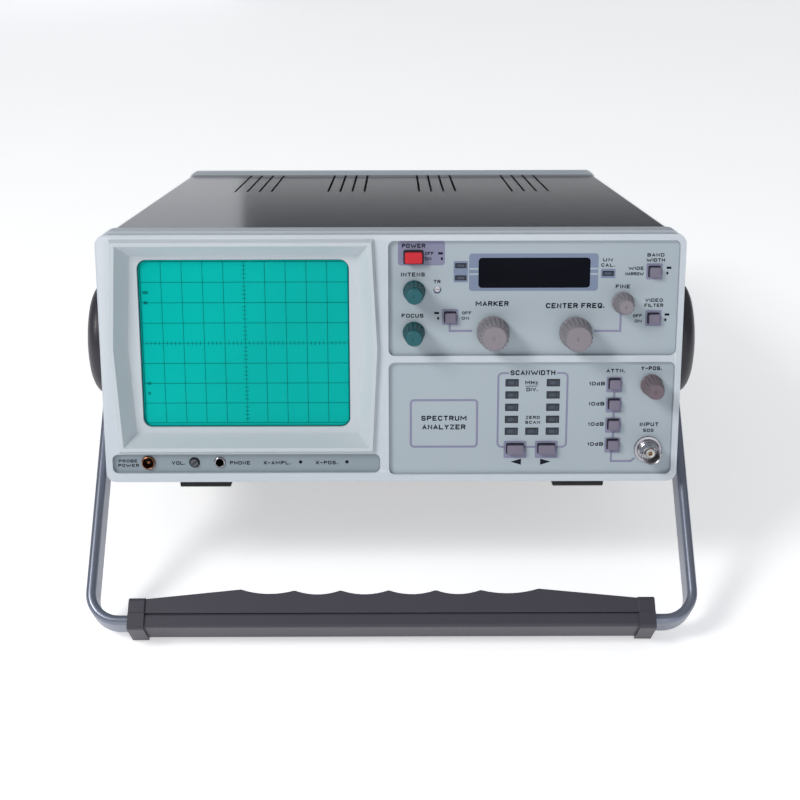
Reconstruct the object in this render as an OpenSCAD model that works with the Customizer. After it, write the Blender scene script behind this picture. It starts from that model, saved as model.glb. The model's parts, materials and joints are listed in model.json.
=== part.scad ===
// Bench spectrum analyzer with a rectangular tube screen, standing on its folded carrying handle.
// Everything is drawn in the case's own frame: X to the right, Y from the front face to the back,
// Z up from the lower edge of the front frame. stance() then tips the case back on to its handle.

/* [Case] */
// Width of the front and rear frames
case_w = 285; // [285:0.5:288]
// Height of the front and rear frames
case_h = 124; // [124:0.5:126]
// Front face to the back of the rear frame
case_d = 347; // [340:1:360]
// Depth of the front frame
front_depth = 28; // [26:0.5:28]
// Depth of the rear frame
rear_depth = 14; // [12:0.5:16]
// Thickness of the front frame's face
face_t = 2; // [1.8:0.1:2.2]
// Width of the sheet steel sleeve
sleeve_w = 284; // [283:0.5:284]
// Top of the sleeve
sleeve_top = 122; // [121.5:0.5:122]
// Underside of the sleeve
sleeve_low = 4; // [3.5:0.5:4.5]
// Sheet thickness of the sleeve
sheet_t = 1; // [0.8:0.1:1.4]
// Width of one cooling slot
slot_w = 1.4; // [1:0.1:3]
// Distance between the cooling slots of a group
slot_pitch = 7.6; // [7:0.1:8]
// Front and rear ends of the cooling slots
slot_ends = [220, 329]; // [200:1:329]

/* [Screen] */
// Centre of the screen
screen_at = [-72.2, 69]; // [-73:0.1:70]
// Width and height of the visible screen
screen_size = [103.5, 84.4]; // [80:0.1:104]
// Half width of the bezel rim at its top and bottom corners
bezel_half = 62.6; // [62:0.1:63]
// How far the bezel's sides bow out at mid height
bezel_bow = 2.7; // [2:0.1:3]
// Height of the bezel rim
bezel_h = 104; // [103:0.5:104.5]
// How far the bezel stands out of the front face
bezel_proud = 2.5; // [2:0.1:4]
// Distance from the rim to the flat around the screen
funnel_depth = 8.5; // [8:0.1:9]

/* [Handle] */
// Pivot of the handle behind the front face and above the lower edge
pivot_at = [68, 60]; // [58:1:70]
// Pivot to the outer face of the cross bar
handle_reach = 160.5; // [156:0.5:162]
// Clear width between the arms
handle_gap = 290; // [289:1:292]
// Width of the flat bar
bar_w = 16.5; // [14:0.5:17]
// Thickness of the flat bar
bar_t = 5; // [4.5:0.5:5.5]
// Direction of the handle below the case's forward direction
handle_angle = 51; // [45:1:60]
// Radius of the pivot studs
stud_r = 5; // [4.5:0.1:5.5]
// Running clearance of the arms and spindles, on the radius
running_gap = 0.05; // [0.03:0.01:0.08]
// Half length of the grip
grip_half_len = 128; // [124:1:130]
// Half width of the grip
grip_half_w = 9.5; // [9:0.1:10]

/* [Feet] */
// Drop of the bottom feet below the lower edge of the frames
foot_drop = 9.2; // [7:0.1:10]
// Edge rounding of the feet and the grip's collars, which the case rests on
rest_r = 2; // [1.5:0.1:2.5]
// Back edge of the rear feet
rear_foot_y = 320; // [300:1:325]
// Distance of the feet from the middle
foot_x = 96; // [90:1:100]

/* [Controls] */
// Radius and length of the small knobs
small_knob = [5.5, 14.3]; // [5:0.1:15]
// Radius and length of the large knobs
large_knob = [8.1, 14.5]; // [7:0.1:16]
// Radius of the knob spindles
spindle_r = 3; // [2.5:0.1:3]
// Push of the small buttons
button_travel = 2.5; // [2:0.1:3]
// Push of the power button
power_travel = 4; // [3:0.1:4]

/* [Hidden] */
$fn = 48;
tiny = 0.01;

// Colours
light_grey = [0.80, 0.82, 0.85];
panel_grey = [0.63, 0.69, 0.73];
sleeve_grey = [0.28, 0.29, 0.33];
dark_grey = [0.25, 0.25, 0.28];
near_black = [0.10, 0.10, 0.11];
steel = [0.70, 0.71, 0.74];
board_green = [0.10, 0.35, 0.22];

// Case
half_w = case_w / 2;
rear_y = case_d - rear_depth;
sleeve_r = 3;
sleeve_in = sleeve_w / 2 - sheet_t;
panel_y = face_t;
panel_t = 1.5;
board_y = 26;
board_t = 1.6;

// Centre of the bezel, which the screen sits a little off
bezel_at = [-72, 68.5];

// Windows of the front face as [left, right, bottom, top]
upper_window = [-1.2, 139.7, 64.3, 120.9];
lower_window = [-1.2, 139.5, 3.6, 61];
strip_window = [-139.2, -5.7, 4.5, 14.4];
window_r = 3;
// The panels lie in pockets of these windows, on a ledge this wide
ledge = 1;
strip_ledge = 0.6;
ledge_y = panel_y + panel_t + 2;

// Centres on the front face
power_at = [11, 112.8];
intensity_at = [11.3, 96.2];
focus_at = [11.1, 75.8];
trace_at = [22.6, 96.7];
marker_knob_at = [49.9, 75.8];
marker_button_at = [29, 83.2];
frequency_at = [90.3, 75.4];
fine_at = [113, 90.3];
bandwidth_at = [127.9, 105.4];
filter_at = [128.3, 82.4];
y_position_at = [128.5, 49.1];
input_at = [128, 16];
attenuator_x = 110.4;
attenuator_z = [49.6, 39.3, 28.9, 18.6];
span_z = 16.4;
span_x = [61.8, 77.4];
volume_at = [-98.6, 9.7];
phone_at = [-85.9, 9.7];
probe_at = [-121.6, 9.7];
x_gain_at = [-45.5, 9.7];
x_position_at = [-22.3, 9.7];
display_at = [69.6, 105];
display_size = [54.4, 14.9];
display_r = 1.8;

// Buttons
small_button = [5.4, 4.9];
span_button = [8.4, 4.9];
power_size = [8.5, 5.6];
button_gap = 0.35;
stem_r = 1.5;
button_out = 3;
power_out = 4;
switch_y = 18;

// Lamps: window size, then centres
lamp_size = [6.2, 3.4];
small_lamp = [5, 1.9];
lamp_rows = [50.2, 44, 37.7, 31.5, 25.4];
lamp_columns = [59.7, 80.1];
middle_lamp = [69.9, 25.4];
small_lamps = [[33.9, 108.6], [33.9, 102.6], [105.4, 104.6]];

// Neck of the tube
neck_r = 25.5;

// Sheet tray inside the sleeve
tray_gap = 0.3;
tray_half = sleeve_in - tray_gap;
tray_z = sleeve_low + sheet_t + tray_gap;
tray_r = sleeve_r - sheet_t - tray_gap;
tray_top = tray_z + sheet_t;
tray_side_top = 92;

// Level of the boards, and the pillars and screws of the main board
board_z = 10.6;
board_top = board_z + board_t;
pillar_x = [-130, 130];
pillar_y = [72, 244];
screw_hole_r = 1.6;

// Mains inlet in the rear panel: centre, body, plug cavity and fuse drawer
inlet_at = [92, 40];
inlet_body = [27, 33];
cavity = [24.6, 16.6];
cavity_z = 7.2;
drawer = [22, 7];
drawer_z = -9;

// Screws that hold the rear frame
frame_screw_x = half_w - 5.5;
frame_screw_z = [40, 85];

// Knobs whose spindles run in potentiometers
knob_sites = [intensity_at, focus_at, marker_knob_at, frequency_at, fine_at, y_position_at];
spindle_end = 20;
pot_y = 12;
pot_r = 7.5;
bush_r = 4.4;
bush_y = 5;
shaft_hole_r = 3.6;
preset_hole_r = 0.9;

// Handle
arm_x = handle_gap / 2;
collar_r = 14;
collar_gap = 0.4;
arm_out = arm_x + bar_t;
bend_r = 12;
grip_out = handle_reach + 2;
collar_lip = 1.2;
collar_w = 8;
bar_in = handle_reach - bar_t;
scallop_peaks = [-74, -47.5, -25, -1.5, 21.5, 43.5, 72];
scallop_depth = 1.9;
crest_flat = 0.4;
end_peak_h = handle_reach - 17;
mid_peak_h = handle_reach - 16.3;
collar_h = handle_reach - 12.7;
hub_r = 30;
hub_out = 158.5;
hub_wall = 4;
eye_r = 12;
head_r = 8;
head_t = 3;

// Resting on the grip's collars and the rear feet
collar_c = grip_out + collar_lip - rest_r;
collar_n = grip_half_w + collar_lip - rest_r;
touch_y = pivot_at[0] - collar_c * cos(handle_angle) + collar_n * sin(handle_angle);
touch_z = pivot_at[1] - collar_c * sin(handle_angle) - collar_n * cos(handle_angle);
heel_y = rear_foot_y - rest_r;
heel_z = rest_r - foot_drop;
stand_tilt = atan((heel_z - touch_z) / (heel_y - touch_y));
lift = rest_r + heel_y * sin(stand_tilt) - heel_z * cos(stand_tilt);
// Foremost point of the stand, the rearmost point of the posts, and the middle between them
front_y = pivot_at[0] - collar_c * cos(handle_angle) - collar_n * sin(handle_angle);
front_z = pivot_at[1] - collar_c * sin(handle_angle) + collar_n * cos(handle_angle);
post_len = 16;
post_x = 122;
post_z = [16, 109];
post_flange_r = 11;
back_y = case_d + post_len;
reach_front = front_y * cos(stand_tilt) + front_z * sin(stand_tilt) - rest_r;
reach_back = back_y * cos(stand_tilt) + (post_z[1] + post_flange_r) * sin(stand_tilt);
middle_y = (reach_front + reach_back) / 2;

// ---------- frames of reference ----------

// The case tipped back on to the grip and the rear feet, with the origin under its middle
module stance() {
    translate([0, -middle_y, lift])
        rotate([-stand_tilt, 0, 0])
            children();
}

// The handle turned about its pivot: -Y runs out along the arms, Z is across the bar
module on_handle() {
    stance()
        translate([0, pivot_at[0], pivot_at[1]])
            rotate([handle_angle, 0, 0])
                children();
}

// ---------- shared shapes ----------

// Rectangle [left, right, bottom, top] with round corners
module soft_box(b, r) {
    if (r <= 0) {
        translate([b[0], b[2]])
            square([b[1] - b[0], b[3] - b[2]]);
    } else {
        translate([b[0] + r, b[2]])
            square([b[1] - b[0] - 2 * r, b[3] - b[2]]);
        translate([b[0], b[2] + r])
            square([b[1] - b[0], b[3] - b[2] - 2 * r]);
        for (x = [b[0] + r, b[1] - r])
            for (z = [b[2] + r, b[3] - r])
                translate([x, z])
                    circle(r);
    }
}

// A flat outline in X and Z given depth from y0 back to y1
module deep(y0, y1) {
    translate([0, y1, 0])
        rotate([90, 0, 0])
            linear_extrude(y1 - y0)
                children();
}

module plate(b, r, y0, y1) {
    deep(y0, y1)
        soft_box(b, r);
}

// Box [width, height] about a centre
function around(c, s) = [c[0] - s[0] / 2, c[0] + s[0] / 2, c[1] - s[1] / 2, c[1] + s[1] / 2];
function grown(b, g) = [b[0] - g, b[1] + g, b[2] - g, b[3] + g];

// Round bar along Y
module rod(c, r, y0, y1) {
    translate([c[0], y1, c[1]])
        rotate([90, 0, 0])
            cylinder(r = r, h = y1 - y0);
}

module block(x0, x1, y0, y1, z0, z1) {
    translate([x0, y0, z0])
        cube([x1 - x0, y1 - y0, z1 - z0]);
}

// Turned shape about an axis along -Y from depth y; the outline holds radius and distance
module turned(c, y, outline) {
    translate([c[0], y, c[1]])
        rotate([90, 0, 0])
            rotate_extrude()
                polygon(outline);
}

// ---------- front ----------

function bezel_outline(g) = let (
    w = bezel_half + g,
    m = bezel_half + bezel_bow + g,
    h = bezel_h / 2 + g
) [[-w, -h], [w, -h], [m, 0], [w, h], [-w, h], [-m, 0]];

module bezel_shape(g) {
    translate(bezel_at)
        polygon(bezel_outline(g));
}

// Pocket for a panel and the smaller opening behind it
module panel_pocket(window, lip) {
    plate(window, window_r, -1, panel_y + panel_t);
    plate(grown(window, -lip), window_r, -1, ledge_y + 1);
}

module front_frame() {
    outer = [-half_w, half_w, 0, case_h];
    // Side walls are thicker than the sleeve, which butts against the back of the rim
    hollow = [2 - half_w, half_w - 2, sleeve_low + sheet_t / 2, sleeve_top - sheet_t / 2];
    channel = [2, 14];
    channel_t = 0.9;
    color(light_grey)
        stance()
            difference() {
                plate(outer, 5, 0, front_depth);
                plate(hollow, 2.5, ledge_y, front_depth + 1);
                panel_pocket(upper_window, ledge);
                panel_pocket(lower_window, ledge);
                panel_pocket(strip_window, strip_ledge);
                deep(-1, ledge_y + 1)
                    bezel_shape(-0.8);
                // Shallow channel round the rim
                difference() {
                    plate(grown(outer, 1), 5, channel[0], channel[1]);
                    plate(grown(outer, -channel_t), 5 - channel_t, channel[0] - 1, channel[1] + 1);
                }
            }
}

// Bowed collar with a sloping funnel down to the screen
module screen_bezel() {
    rim = 1.7;
    draft = 1.4;
    flat_inset = 7.4;
    floor_y = funnel_depth - bezel_proud;
    color(light_grey)
        stance()
            difference() {
                union() {
                    // Drafted collar outside the face
                    hull() {
                        deep(-bezel_proud, -bezel_proud + tiny)
                            bezel_shape(0);
                        deep(-tiny, 0)
                            bezel_shape(draft);
                    }
                    deep(-tiny, floor_y + 2)
                        bezel_shape(-0.9);
                }
                // Funnel down to the flat around the screen
                hull() {
                    deep(-bezel_proud - 1, -bezel_proud)
                        bezel_shape(-rim);
                    deep(floor_y - tiny, floor_y)
                        bezel_shape(-flat_inset);
                }
                plate(around(screen_at, screen_size), 4.8, 0, floor_y + 3);
            }
}

module screen_filter() {
    y0 = funnel_depth - bezel_proud + 2;
    color([0.03, 0.68, 0.64])
        stance()
            plate(grown(around(screen_at, screen_size), 4), 3, y0, y0 + 2);
}

// Funnel between the faceplate and the neck, drawn in by g all round
module glass_funnel(g) {
    face = around(screen_at, [106, 88]);
    hull() {
        plate(grown(face, -g), 8, 16.9, 17);
        rod(screen_at, neck_r - g, 96, 97, $fn = 32);
    }
}

module crt_tube() {
    glass_t = 3;
    color([0.45, 0.52, 0.52])
        stance()
            difference() {
                union() {
                    plate(around(screen_at, [106, 88]), 8, 10.5, 17);
                    glass_funnel(0.5);
                    rod(screen_at, neck_r, 97, 236);
                }
                glass_funnel(glass_t);
                rod(screen_at, neck_r - glass_t, 90, 232);
            }
}

module crt_shield() {
    color(steel)
        stance() {
            difference() {
                rod(screen_at, 32, 98, 240);
                rod(screen_at, 30.8, 97, 241);
            }
            // Saddle that carries the neck on the main board
            difference() {
                block(screen_at[0] - 24, screen_at[0] + 24, 200, 206, board_top, screen_at[1]);
                rod(screen_at, 32.05, 190, 210);
            }
        }
}

module crt_socket() {
    color(near_black)
        stance()
            difference() {
                rod(screen_at, 25, 236.2, 250);
                for (a = [0:30:330])
                    rod(screen_at + 18 * [cos(a), sin(a)], 1, 248, 251);
            }
}

module upper_panel() {
    color(panel_grey)
        stance()
            difference() {
                plate(grown(upper_window, -0.1), window_r - 0.1, panel_y, panel_y + panel_t);
                plate(grown(around(power_at, power_size), button_gap), 1, 0, 5);
                plate(grown(around(marker_button_at, small_button), button_gap), 0.6, 0, 5);
                plate(grown(around(bandwidth_at, small_button), button_gap), 0.6, 0, 5);
                plate(grown(around(filter_at, small_button), button_gap), 0.6, 0, 5);
                plate(grown(around(display_at, display_size), 0.1), display_r + 0.1, 0, 5);
                for (c = [intensity_at, focus_at, marker_knob_at, frequency_at, fine_at])
                    rod(c, shaft_hole_r, 0, 5);
                rod(trace_at, 1.9, 0, 5);
                for (c = small_lamps)
                    plate(grown(around(c, small_lamp), 0.1), 0, 0, 5);
            }
}

module lower_panel() {
    color(panel_grey)
        stance()
            difference() {
                plate(grown(lower_window, -0.1), window_r - 0.1, panel_y, panel_y + panel_t);
                for (z = attenuator_z)
                    plate(grown(around([attenuator_x, z], small_button), button_gap), 0.6, 0, 5);
                for (x = span_x)
                    plate(grown(around([x, span_z], span_button), button_gap), 0.8, 0, 5);
                for (x = lamp_columns)
                    for (z = lamp_rows)
                        plate(grown(around([x, z], lamp_size), 0.1), 0, 0, 5);
                plate(grown(around(middle_lamp, lamp_size), 0.1), 0, 0, 5);
                rod(y_position_at, shaft_hole_r, 0, 5);
                rod(input_at, 4.9, 0, 5);
            }
}

module connector_strip() {
    color(panel_grey)
        stance()
            difference() {
                plate(grown(strip_window, -0.1), window_r - 0.1, panel_y, panel_y + panel_t);
                rod(probe_at, 3.5, 0, 5);
                rod(phone_at, 2.9, 0, 5);
                rod(volume_at, 2.7, 0, 5);
                rod(x_gain_at, preset_hole_r, 0, 5);
                rod(x_position_at, preset_hole_r, 0, 5);
            }
}

module display_window() {
    color([0.05, 0.05, 0.08])
        stance()
            plate(around(display_at, display_size), display_r, panel_y - 0.2, panel_y + 2);
}

module display_module() {
    digit_pitch = 12;
    color([0.85, 0.25, 0.2])
        stance() {
            for (i = [-1.5:1:1.5])
                plate(around(display_at + [i * digit_pitch, 0], [11.8, 13]), 0, 5, 12);
            plate(around(display_at, [52, 18]), 0, 12, 13.6);
        }
}

module indicator_leds() {
    color([0.25, 0.30, 0.36])
        stance() {
            for (x = lamp_columns)
                for (z = lamp_rows)
                    plate(around([x, z], lamp_size), 0.5, panel_y - 0.4, 9);
            plate(around(middle_lamp, lamp_size), 0.5, panel_y - 0.4, 9);
            for (c = small_lamps)
                plate(around(c, small_lamp), 0.3, panel_y - 0.3, 9);
        }
}

module front_board() {
    color(board_green)
        stance()
            difference() {
                block(-2, 137, board_y, board_y + board_t, 7, 118);
                for (x = [4, 131])
                    for (z = [11, 114])
                        rod([x, z], 1.6, board_y - 1, board_y + board_t + 1);
                // Passages for the input line and the mains push rod
                rod(input_at, 6, board_y - 1, board_y + board_t + 1);
                rod(power_at, 2.8, board_y - 1, board_y + board_t + 1);
            }
}

// ---------- case ----------

module sleeve_slots() {
    groups = [-87, -28.6, 28.6, 87];
    for (g = groups)
        for (i = [-1.5:1:1.5])
            translate([g + i * slot_pitch, 0, 0]) {
                block(-slot_w / 2, slot_w / 2, slot_ends[0], slot_ends[1], 110, 130);
                block(-slot_w / 2, slot_w / 2, slot_ends[0], slot_ends[1], -5, 10);
            }
}

module case_sleeve() {
    b = [-sleeve_w / 2, sleeve_w / 2, sleeve_low, sleeve_top];
    // The ends tuck into the front and rear frames
    y0 = front_depth;
    y1 = rear_y;
    color(sleeve_grey)
        stance()
            difference() {
                plate(b, sleeve_r, y0, y1);
                plate(grown(b, -sheet_t), sleeve_r - sheet_t, y0 - 1, y1 + 1);
                sleeve_slots();
                translate([-200, pivot_at[0], pivot_at[1]])
                    rotate([0, 90, 0])
                        cylinder(r = stud_r + 0.5, h = 400);
            }
}

module rear_frame() {
    outer = [-half_w, half_w, 0, case_h];
    color(light_grey)
        stance()
            difference() {
                plate(outer, 5, rear_y, case_d);
                plate(grown(outer, -9), 4, rear_y - 1, case_d + 1);
                difference() {
                    plate(grown(outer, 1), 5, case_d - 9, case_d - 4);
                    plate(grown(outer, -0.6), 4.6, case_d - 10, case_d - 3);
                }
                for (x = [-frame_screw_x, frame_screw_x])
                    for (z = frame_screw_z)
                        rod([x, z], 1.7, rear_y - 1, case_d + 1);
            }
}

module rear_panel() {
    b = [-half_w + 9.1, half_w - 9.1, 9.1, case_h - 9.1];
    color(light_grey)
        stance()
            difference() {
                plate(b, 3.9, rear_y + 1, rear_y + 3);
                plate(grown(around(inlet_at, inlet_body), 0.1), 0, rear_y, rear_y + 4);
                for (i = [0:11])
                    plate(around([-95 + i * 9, 62.5], [3, 50]), 1.4, rear_y, rear_y + 4);
            }
}

// Sheet tray with upright sides that carries the boards and the handle's studs
module chassis_tray() {
    front_y = front_depth + 1;
    y1 = rear_y - 0.5;
    outer = [-tray_half, tray_half, tray_z, tray_side_top + tray_r];
    color(steel)
        stance()
            difference() {
                plate(outer, tray_r, front_y, y1);
                plate(grown(outer, -sheet_t), tray_r - sheet_t, front_y - 1, y1 + 1);
                block(-case_w, case_w, 0, case_d, tray_side_top, case_h);
                for (y = [120, 180, 240, 300])
                    translate([-case_w, y, 55])
                        rotate([0, 90, 0])
                            cylinder(r = 18, h = 2 * case_w);
                sleeve_slots();
            }
}

module mains_inlet() {
    y1 = rear_y + 3;
    c = inlet_at;
    color(near_black)
        stance()
            difference() {
                union() {
                    plate(around(c, [40, 38]), 3, y1, y1 + 2.5);
                    plate(around(c, inlet_body), 1, y1 - 24, y1 + tiny);
                }
                plate(around(c + [0, cavity_z], cavity), 2, y1 - 16, y1 + 3);
                plate(grown(around(c + [0, drawer_z], drawer), 0.3), 0.5, y1 - 22, y1 + 3);
            }
    // Two line blades and the longer earth blade
    color(steel)
        stance() {
            for (x = [-7, 7])
                plate(around(c + [x, cavity_z - 2], [2, 4]), 0, y1 - 16, y1 - 3);
            plate(around(c + [0, cavity_z + 2], [2, 4]), 0, y1 - 16, y1 - 1);
        }
}

module fuse_drawer() {
    y1 = rear_y + 5.5;
    c = inlet_at + [0, drawer_z];
    color(dark_grey)
        stance()
            difference() {
                union() {
                    plate(around(c, drawer), 0.5, y1 - 22, y1);
                    plate(around(c, drawer + [1.6, 0.8]), 0.8, y1 + 0.3, y1 + 1.6);
                    plate(around(c, [16, 3]), 0, y1 - tiny, y1 + 1);
                }
                // Bed of the glass fuse
                rod(c, 2.6, y1 - 20.5, y1 - 1);
                plate(around(c + [0, 4], [5, 8]), 0, y1 - 20.5, y1 - 1);
            }
}

module rear_feet() {
    color(dark_grey)
        stance()
            for (x = [-post_x, post_x])
                for (z = post_z)
                    difference() {
                        union() {
                            rod([x, z], 7.5, case_d, back_y - 4);
                            rod([x, z], post_flange_r, back_y - 4, back_y);
                        }
                        rod([x, z], 3.2, back_y - 6, back_y + 1);
                    }
}

// Rounded rectangular foot seen from the side, as an outline in Y and Z
module foot_outline(y0, y1) {
    z1 = sleeve_low;
    translate([y0, heel_z])
        square([y1 - y0, z1 - heel_z]);
    translate([y0 + rest_r, -foot_drop])
        square([y1 - y0 - 2 * rest_r, z1 + foot_drop]);
    for (y = [y0 + rest_r, y1 - rest_r])
        translate([y, heel_z])
            circle(rest_r);
}

module base_feet() {
    foot_w = 26;
    foot_len = 20;
    color(near_black)
        stance()
            difference() {
                for (x = [-foot_x, foot_x])
                    for (y = [20, rear_foot_y - foot_len])
                        translate([x - foot_w / 2, 0, 0])
                            rotate([90, 0, 90])
                                linear_extrude(foot_w)
                                    foot_outline(y, y + foot_len);
                // The front feet step up behind the front frame
                block(-half_w, half_w, 0, front_depth + 0.1, 0, sleeve_low + 1);
            }
}

// ---------- inside ----------

module power_transformer() {
    core = [-34, 36, 272, 318];
    foot_t = 2;
    z0 = tray_top + foot_t;
    color([0.45, 0.42, 0.40])
        stance() {
            block(core[0], core[1], core[2], core[3], z0, z0 + 60);
            // Winding that shows before and behind the core
            for (y = [core[2] - 14, core[3]])
                block(core[0] + 12, core[1] - 12, y, y + 14, z0 + 10, z0 + 50);
            block(core[0] - 12, core[1] + 12, 286, 304, tray_top, z0);
        }
}

// Hollow pillars that hold a board above the tray
module standoffs(xs, ys) {
    color(steel)
        stance()
            for (x = xs)
                for (y = ys)
                    translate([x, y, tray_top])
                        difference() {
                            cylinder(r = 3, h = board_z - tray_top);
                            cylinder(r = screw_hole_r, h = 12);
                        }
}

module power_board() {
    color(board_green)
        stance()
            block(-134, -50, 256, 328, board_z, board_top);
    color([0.15, 0.2, 0.45])
        stance() {
            for (x = [-118, -92, -66])
                translate([x, 310, board_top])
                    cylinder(r = 11, h = 34);
            block(-130, -56, 262, 270, board_top, board_top + 36);
        }
    standoffs([-128, -56], [290]);
}

module main_board() {
    color(board_green)
        stance()
            difference() {
                block(-136, 136, 34, 250, board_z, board_top);
                for (x = pillar_x)
                    for (y = pillar_y)
                        translate([x, y, tray_z])
                            cylinder(r = screw_hole_r, h = board_top);
            }
    color([0.12, 0.12, 0.13])
        stance() {
            for (i = [0:5])
                block(-20 + i * 22, -10 + i * 22, 212, 232, board_top, board_top + 4);
            for (i = [0:3])
                block(-122, -102, 60 + i * 30, 80 + i * 30, board_top, board_top + 3);
        }
    standoffs(pillar_x, pillar_y);
}

module lidded_box(x0, x1, y0, y1, z0, z1) {
    difference() {
        block(x0, x1, y0, y1, z0, z1);
        block(x0 + 0.8, x1 - 0.8, y0 + 0.8, y1 - 0.8, z0 + 0.8, z1 - 0.8);
    }
}

module tuner_box() {
    color(steel)
        stance() {
            lidded_box(20, 92, 70, 200, board_top, 46);
            for (i = [0:3])
                rod([32 + i * 16, 29], 3, 200, 207);
        }
}

module filter_box() {
    color(steel)
        stance() {
            lidded_box(20, 92, 70, 200, 50, 82);
            for (i = [0:4])
                translate([30 + i * 13, 135, 82])
                    cylinder(r = 2.5, h = 4);
        }
}

module attenuator_box() {
    color(steel)
        stance() {
            lidded_box(98, 135, 30, 66, 13, 56);
            // Coaxial entry from the input connector
            rod(input_at, 4, 24.4, 30);
        }
}

module power_switch() {
    color(near_black)
        stance()
            block(power_at[0] - 7, power_at[0] + 7, 34, 62, power_at[1] - 6, power_at[1] + 4);
    color(steel)
        stance()
            difference() {
                block(power_at[0] - 9, power_at[0] + 9, board_y + board_t, 34, 106, 119.5);
                rod(power_at, 2.4, 20, 40);
            }
}

module potentiometers() {
    color([0.2, 0.35, 0.55])
        stance() {
            for (c = knob_sites)
                difference() {
                    union() {
                        rod(c, pot_r, pot_y, board_y);
                        rod(c, bush_r, bush_y, pot_y + tiny);
                    }
                    rod(c, spindle_r + running_gap, bush_y - 1, spindle_end + 1);
                }
            difference() {
                rod(volume_at, 4, 6, board_y - 0.5);
                rod(volume_at, 2 + running_gap, 5, 15);
            }
            for (c = [trace_at, x_gain_at, x_position_at])
                difference() {
                    rod(c, 3.2, 4, 14);
                    rod(c, 1.5 + running_gap, 3, 9);
                }
        }
}

module button_switches() {
    sites = concat([marker_button_at, bandwidth_at, filter_at],
        [for (z = attenuator_z) [attenuator_x, z]], [for (x = span_x) [x, span_z]]);
    color(near_black)
        stance()
            for (c = sites)
                plate(around(c, [7, 7]), 0, switch_y, board_y);
}

// ---------- connectors ----------

// Bayonet coaxial socket with its flange, two lugs and a centre contact
module input_connector() {
    shell_r = 4.8;
    c = input_at;
    color(steel)
        stance()
            difference() {
                union() {
                    rod(c, 7, panel_y - 1.6, panel_y);
                    rod(c, shell_r, panel_y - 12, 24.4);
                    // Bayonet lugs
                    translate([c[0], panel_y - 9.4, c[1]])
                        rotate([0, 90, 0])
                            translate([0, 0, -5.5])
                                cylinder(r = 1, h = 11);
                    rod(c, 6.4, 3.5, 5.5);
                }
                rod(c, 4.05, panel_y - 13, panel_y - 2);
            }
    color([0.9, 0.9, 0.88])
        stance()
            difference() {
                rod(c, 2.4, panel_y - 8.5, panel_y - 2);
                rod(c, 0.7, panel_y - 9, panel_y - 3);
            }
}

module headphone_socket() {
    color(near_black)
        stance()
            difference() {
                union() {
                    rod(phone_at, 2.8, panel_y - 1, 20);
                    plate(around(phone_at, [9, 8]), 0, 4.2, 18);
                }
                rod(phone_at, 1.8, 0, 17);
            }
}

module probe_power_socket() {
    color([0.72, 0.52, 0.33])
        stance() {
            difference() {
                rod(probe_at, 3.4, panel_y - 1.6, 16);
                rod(probe_at, 2.5, -1, 14);
            }
            rod(probe_at, 0.9, panel_y, 14);
        }
}

// ---------- knobs and trimmers ----------

// Tapered collet knob, its spindle, and the collar at its foot
module knob(c, size, cap_r) {
    r = size[0];
    l = size[1] + panel_y;
    turned(c, panel_y - 0.8, [
        [0, 0], [r, 0], [r, 1.2], [r - 0.5, 2.2], [r - 1.1, l - 3], [cap_r + 0.3, l - 1.4],
        [cap_r - 0.2, l - 0.8], [0, l - 0.8]
    ]);
    rod(c, spindle_r, panel_y - 0.81, spindle_end);
}

module intensity_knob() {
    color([0.22, 0.42, 0.45])
        stance()
            knob(intensity_at, small_knob, 3.9);
}

module focus_knob() {
    color([0.22, 0.42, 0.45])
        stance()
            knob(focus_at, small_knob, 3.9);
}

module marker_knob() {
    color([0.55, 0.53, 0.58])
        stance()
            knob(marker_knob_at, large_knob, 5.9);
}

module frequency_knob() {
    color([0.52, 0.50, 0.54])
        stance()
            knob(frequency_at, large_knob, 6.1);
}

module fine_knob() {
    color([0.50, 0.49, 0.55])
        stance()
            knob(fine_at, [5.4, 11.6], 3.5);
}

module y_position_knob() {
    color([0.42, 0.38, 0.42])
        stance()
            knob(y_position_at, small_knob, 3.9);
}

module volume_spindle() {
    color([0.35, 0.35, 0.38])
        stance()
            difference() {
                union() {
                    rod(volume_at, 2.35, panel_y - 1.5, 5.5);
                    rod(volume_at, 2, 5.4, 14);
                }
                block(volume_at[0] - 3, volume_at[0] + 3, -1, panel_y - 0.6,
                    volume_at[1] - 0.4, volume_at[1] + 0.4);
            }
}

// Slotted screw of a preset resistor
module trimmer(c) {
    difference() {
        rod(c, 1.5, 4.2, 8);
        block(c[0] - 2, c[0] + 2, 4, 5, c[1] - 0.3, c[1] + 0.3);
    }
}

module trace_trimmer() {
    color(steel)
        stance()
            trimmer(trace_at);
}

module x_gain_trimmer() {
    color(steel)
        stance()
            trimmer(x_gain_at);
}

module x_position_trimmer() {
    color(steel)
        stance()
            trimmer(x_position_at);
}

// ---------- buttons ----------

// Cap, its flange behind the panel, and the stem that reaches the switch
module push_button(c, size, out, travel) {
    stem_end = switch_y - travel - 0.3;
    plate(around(c, size), 0.8, panel_y - out, 6);
    plate(grown(around(c, size), 0.8), 0.8, 5, 6.5);
    rod(c, stem_r, 6, stem_end);
}

module power_button() {
    color([0.76, 0.20, 0.26])
        stance() {
            plate(around(power_at, power_size), 1, panel_y - power_out, 7);
            plate(grown(around(power_at, power_size), 0.8), 1, 5, 6.5);
            // Long push rod through the board to the mains switch
            rod(power_at, 2, 7, 34 - power_travel - 0.3);
        }
}

module marker_button() {
    color([0.52, 0.50, 0.60])
        stance()
            push_button(marker_button_at, small_button, button_out, button_travel);
}

module bandwidth_button() {
    color([0.52, 0.50, 0.60])
        stance()
            push_button(bandwidth_at, small_button, button_out, button_travel);
}

module filter_button() {
    color([0.52, 0.50, 0.60])
        stance()
            push_button(filter_at, small_button, button_out, button_travel);
}

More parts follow.
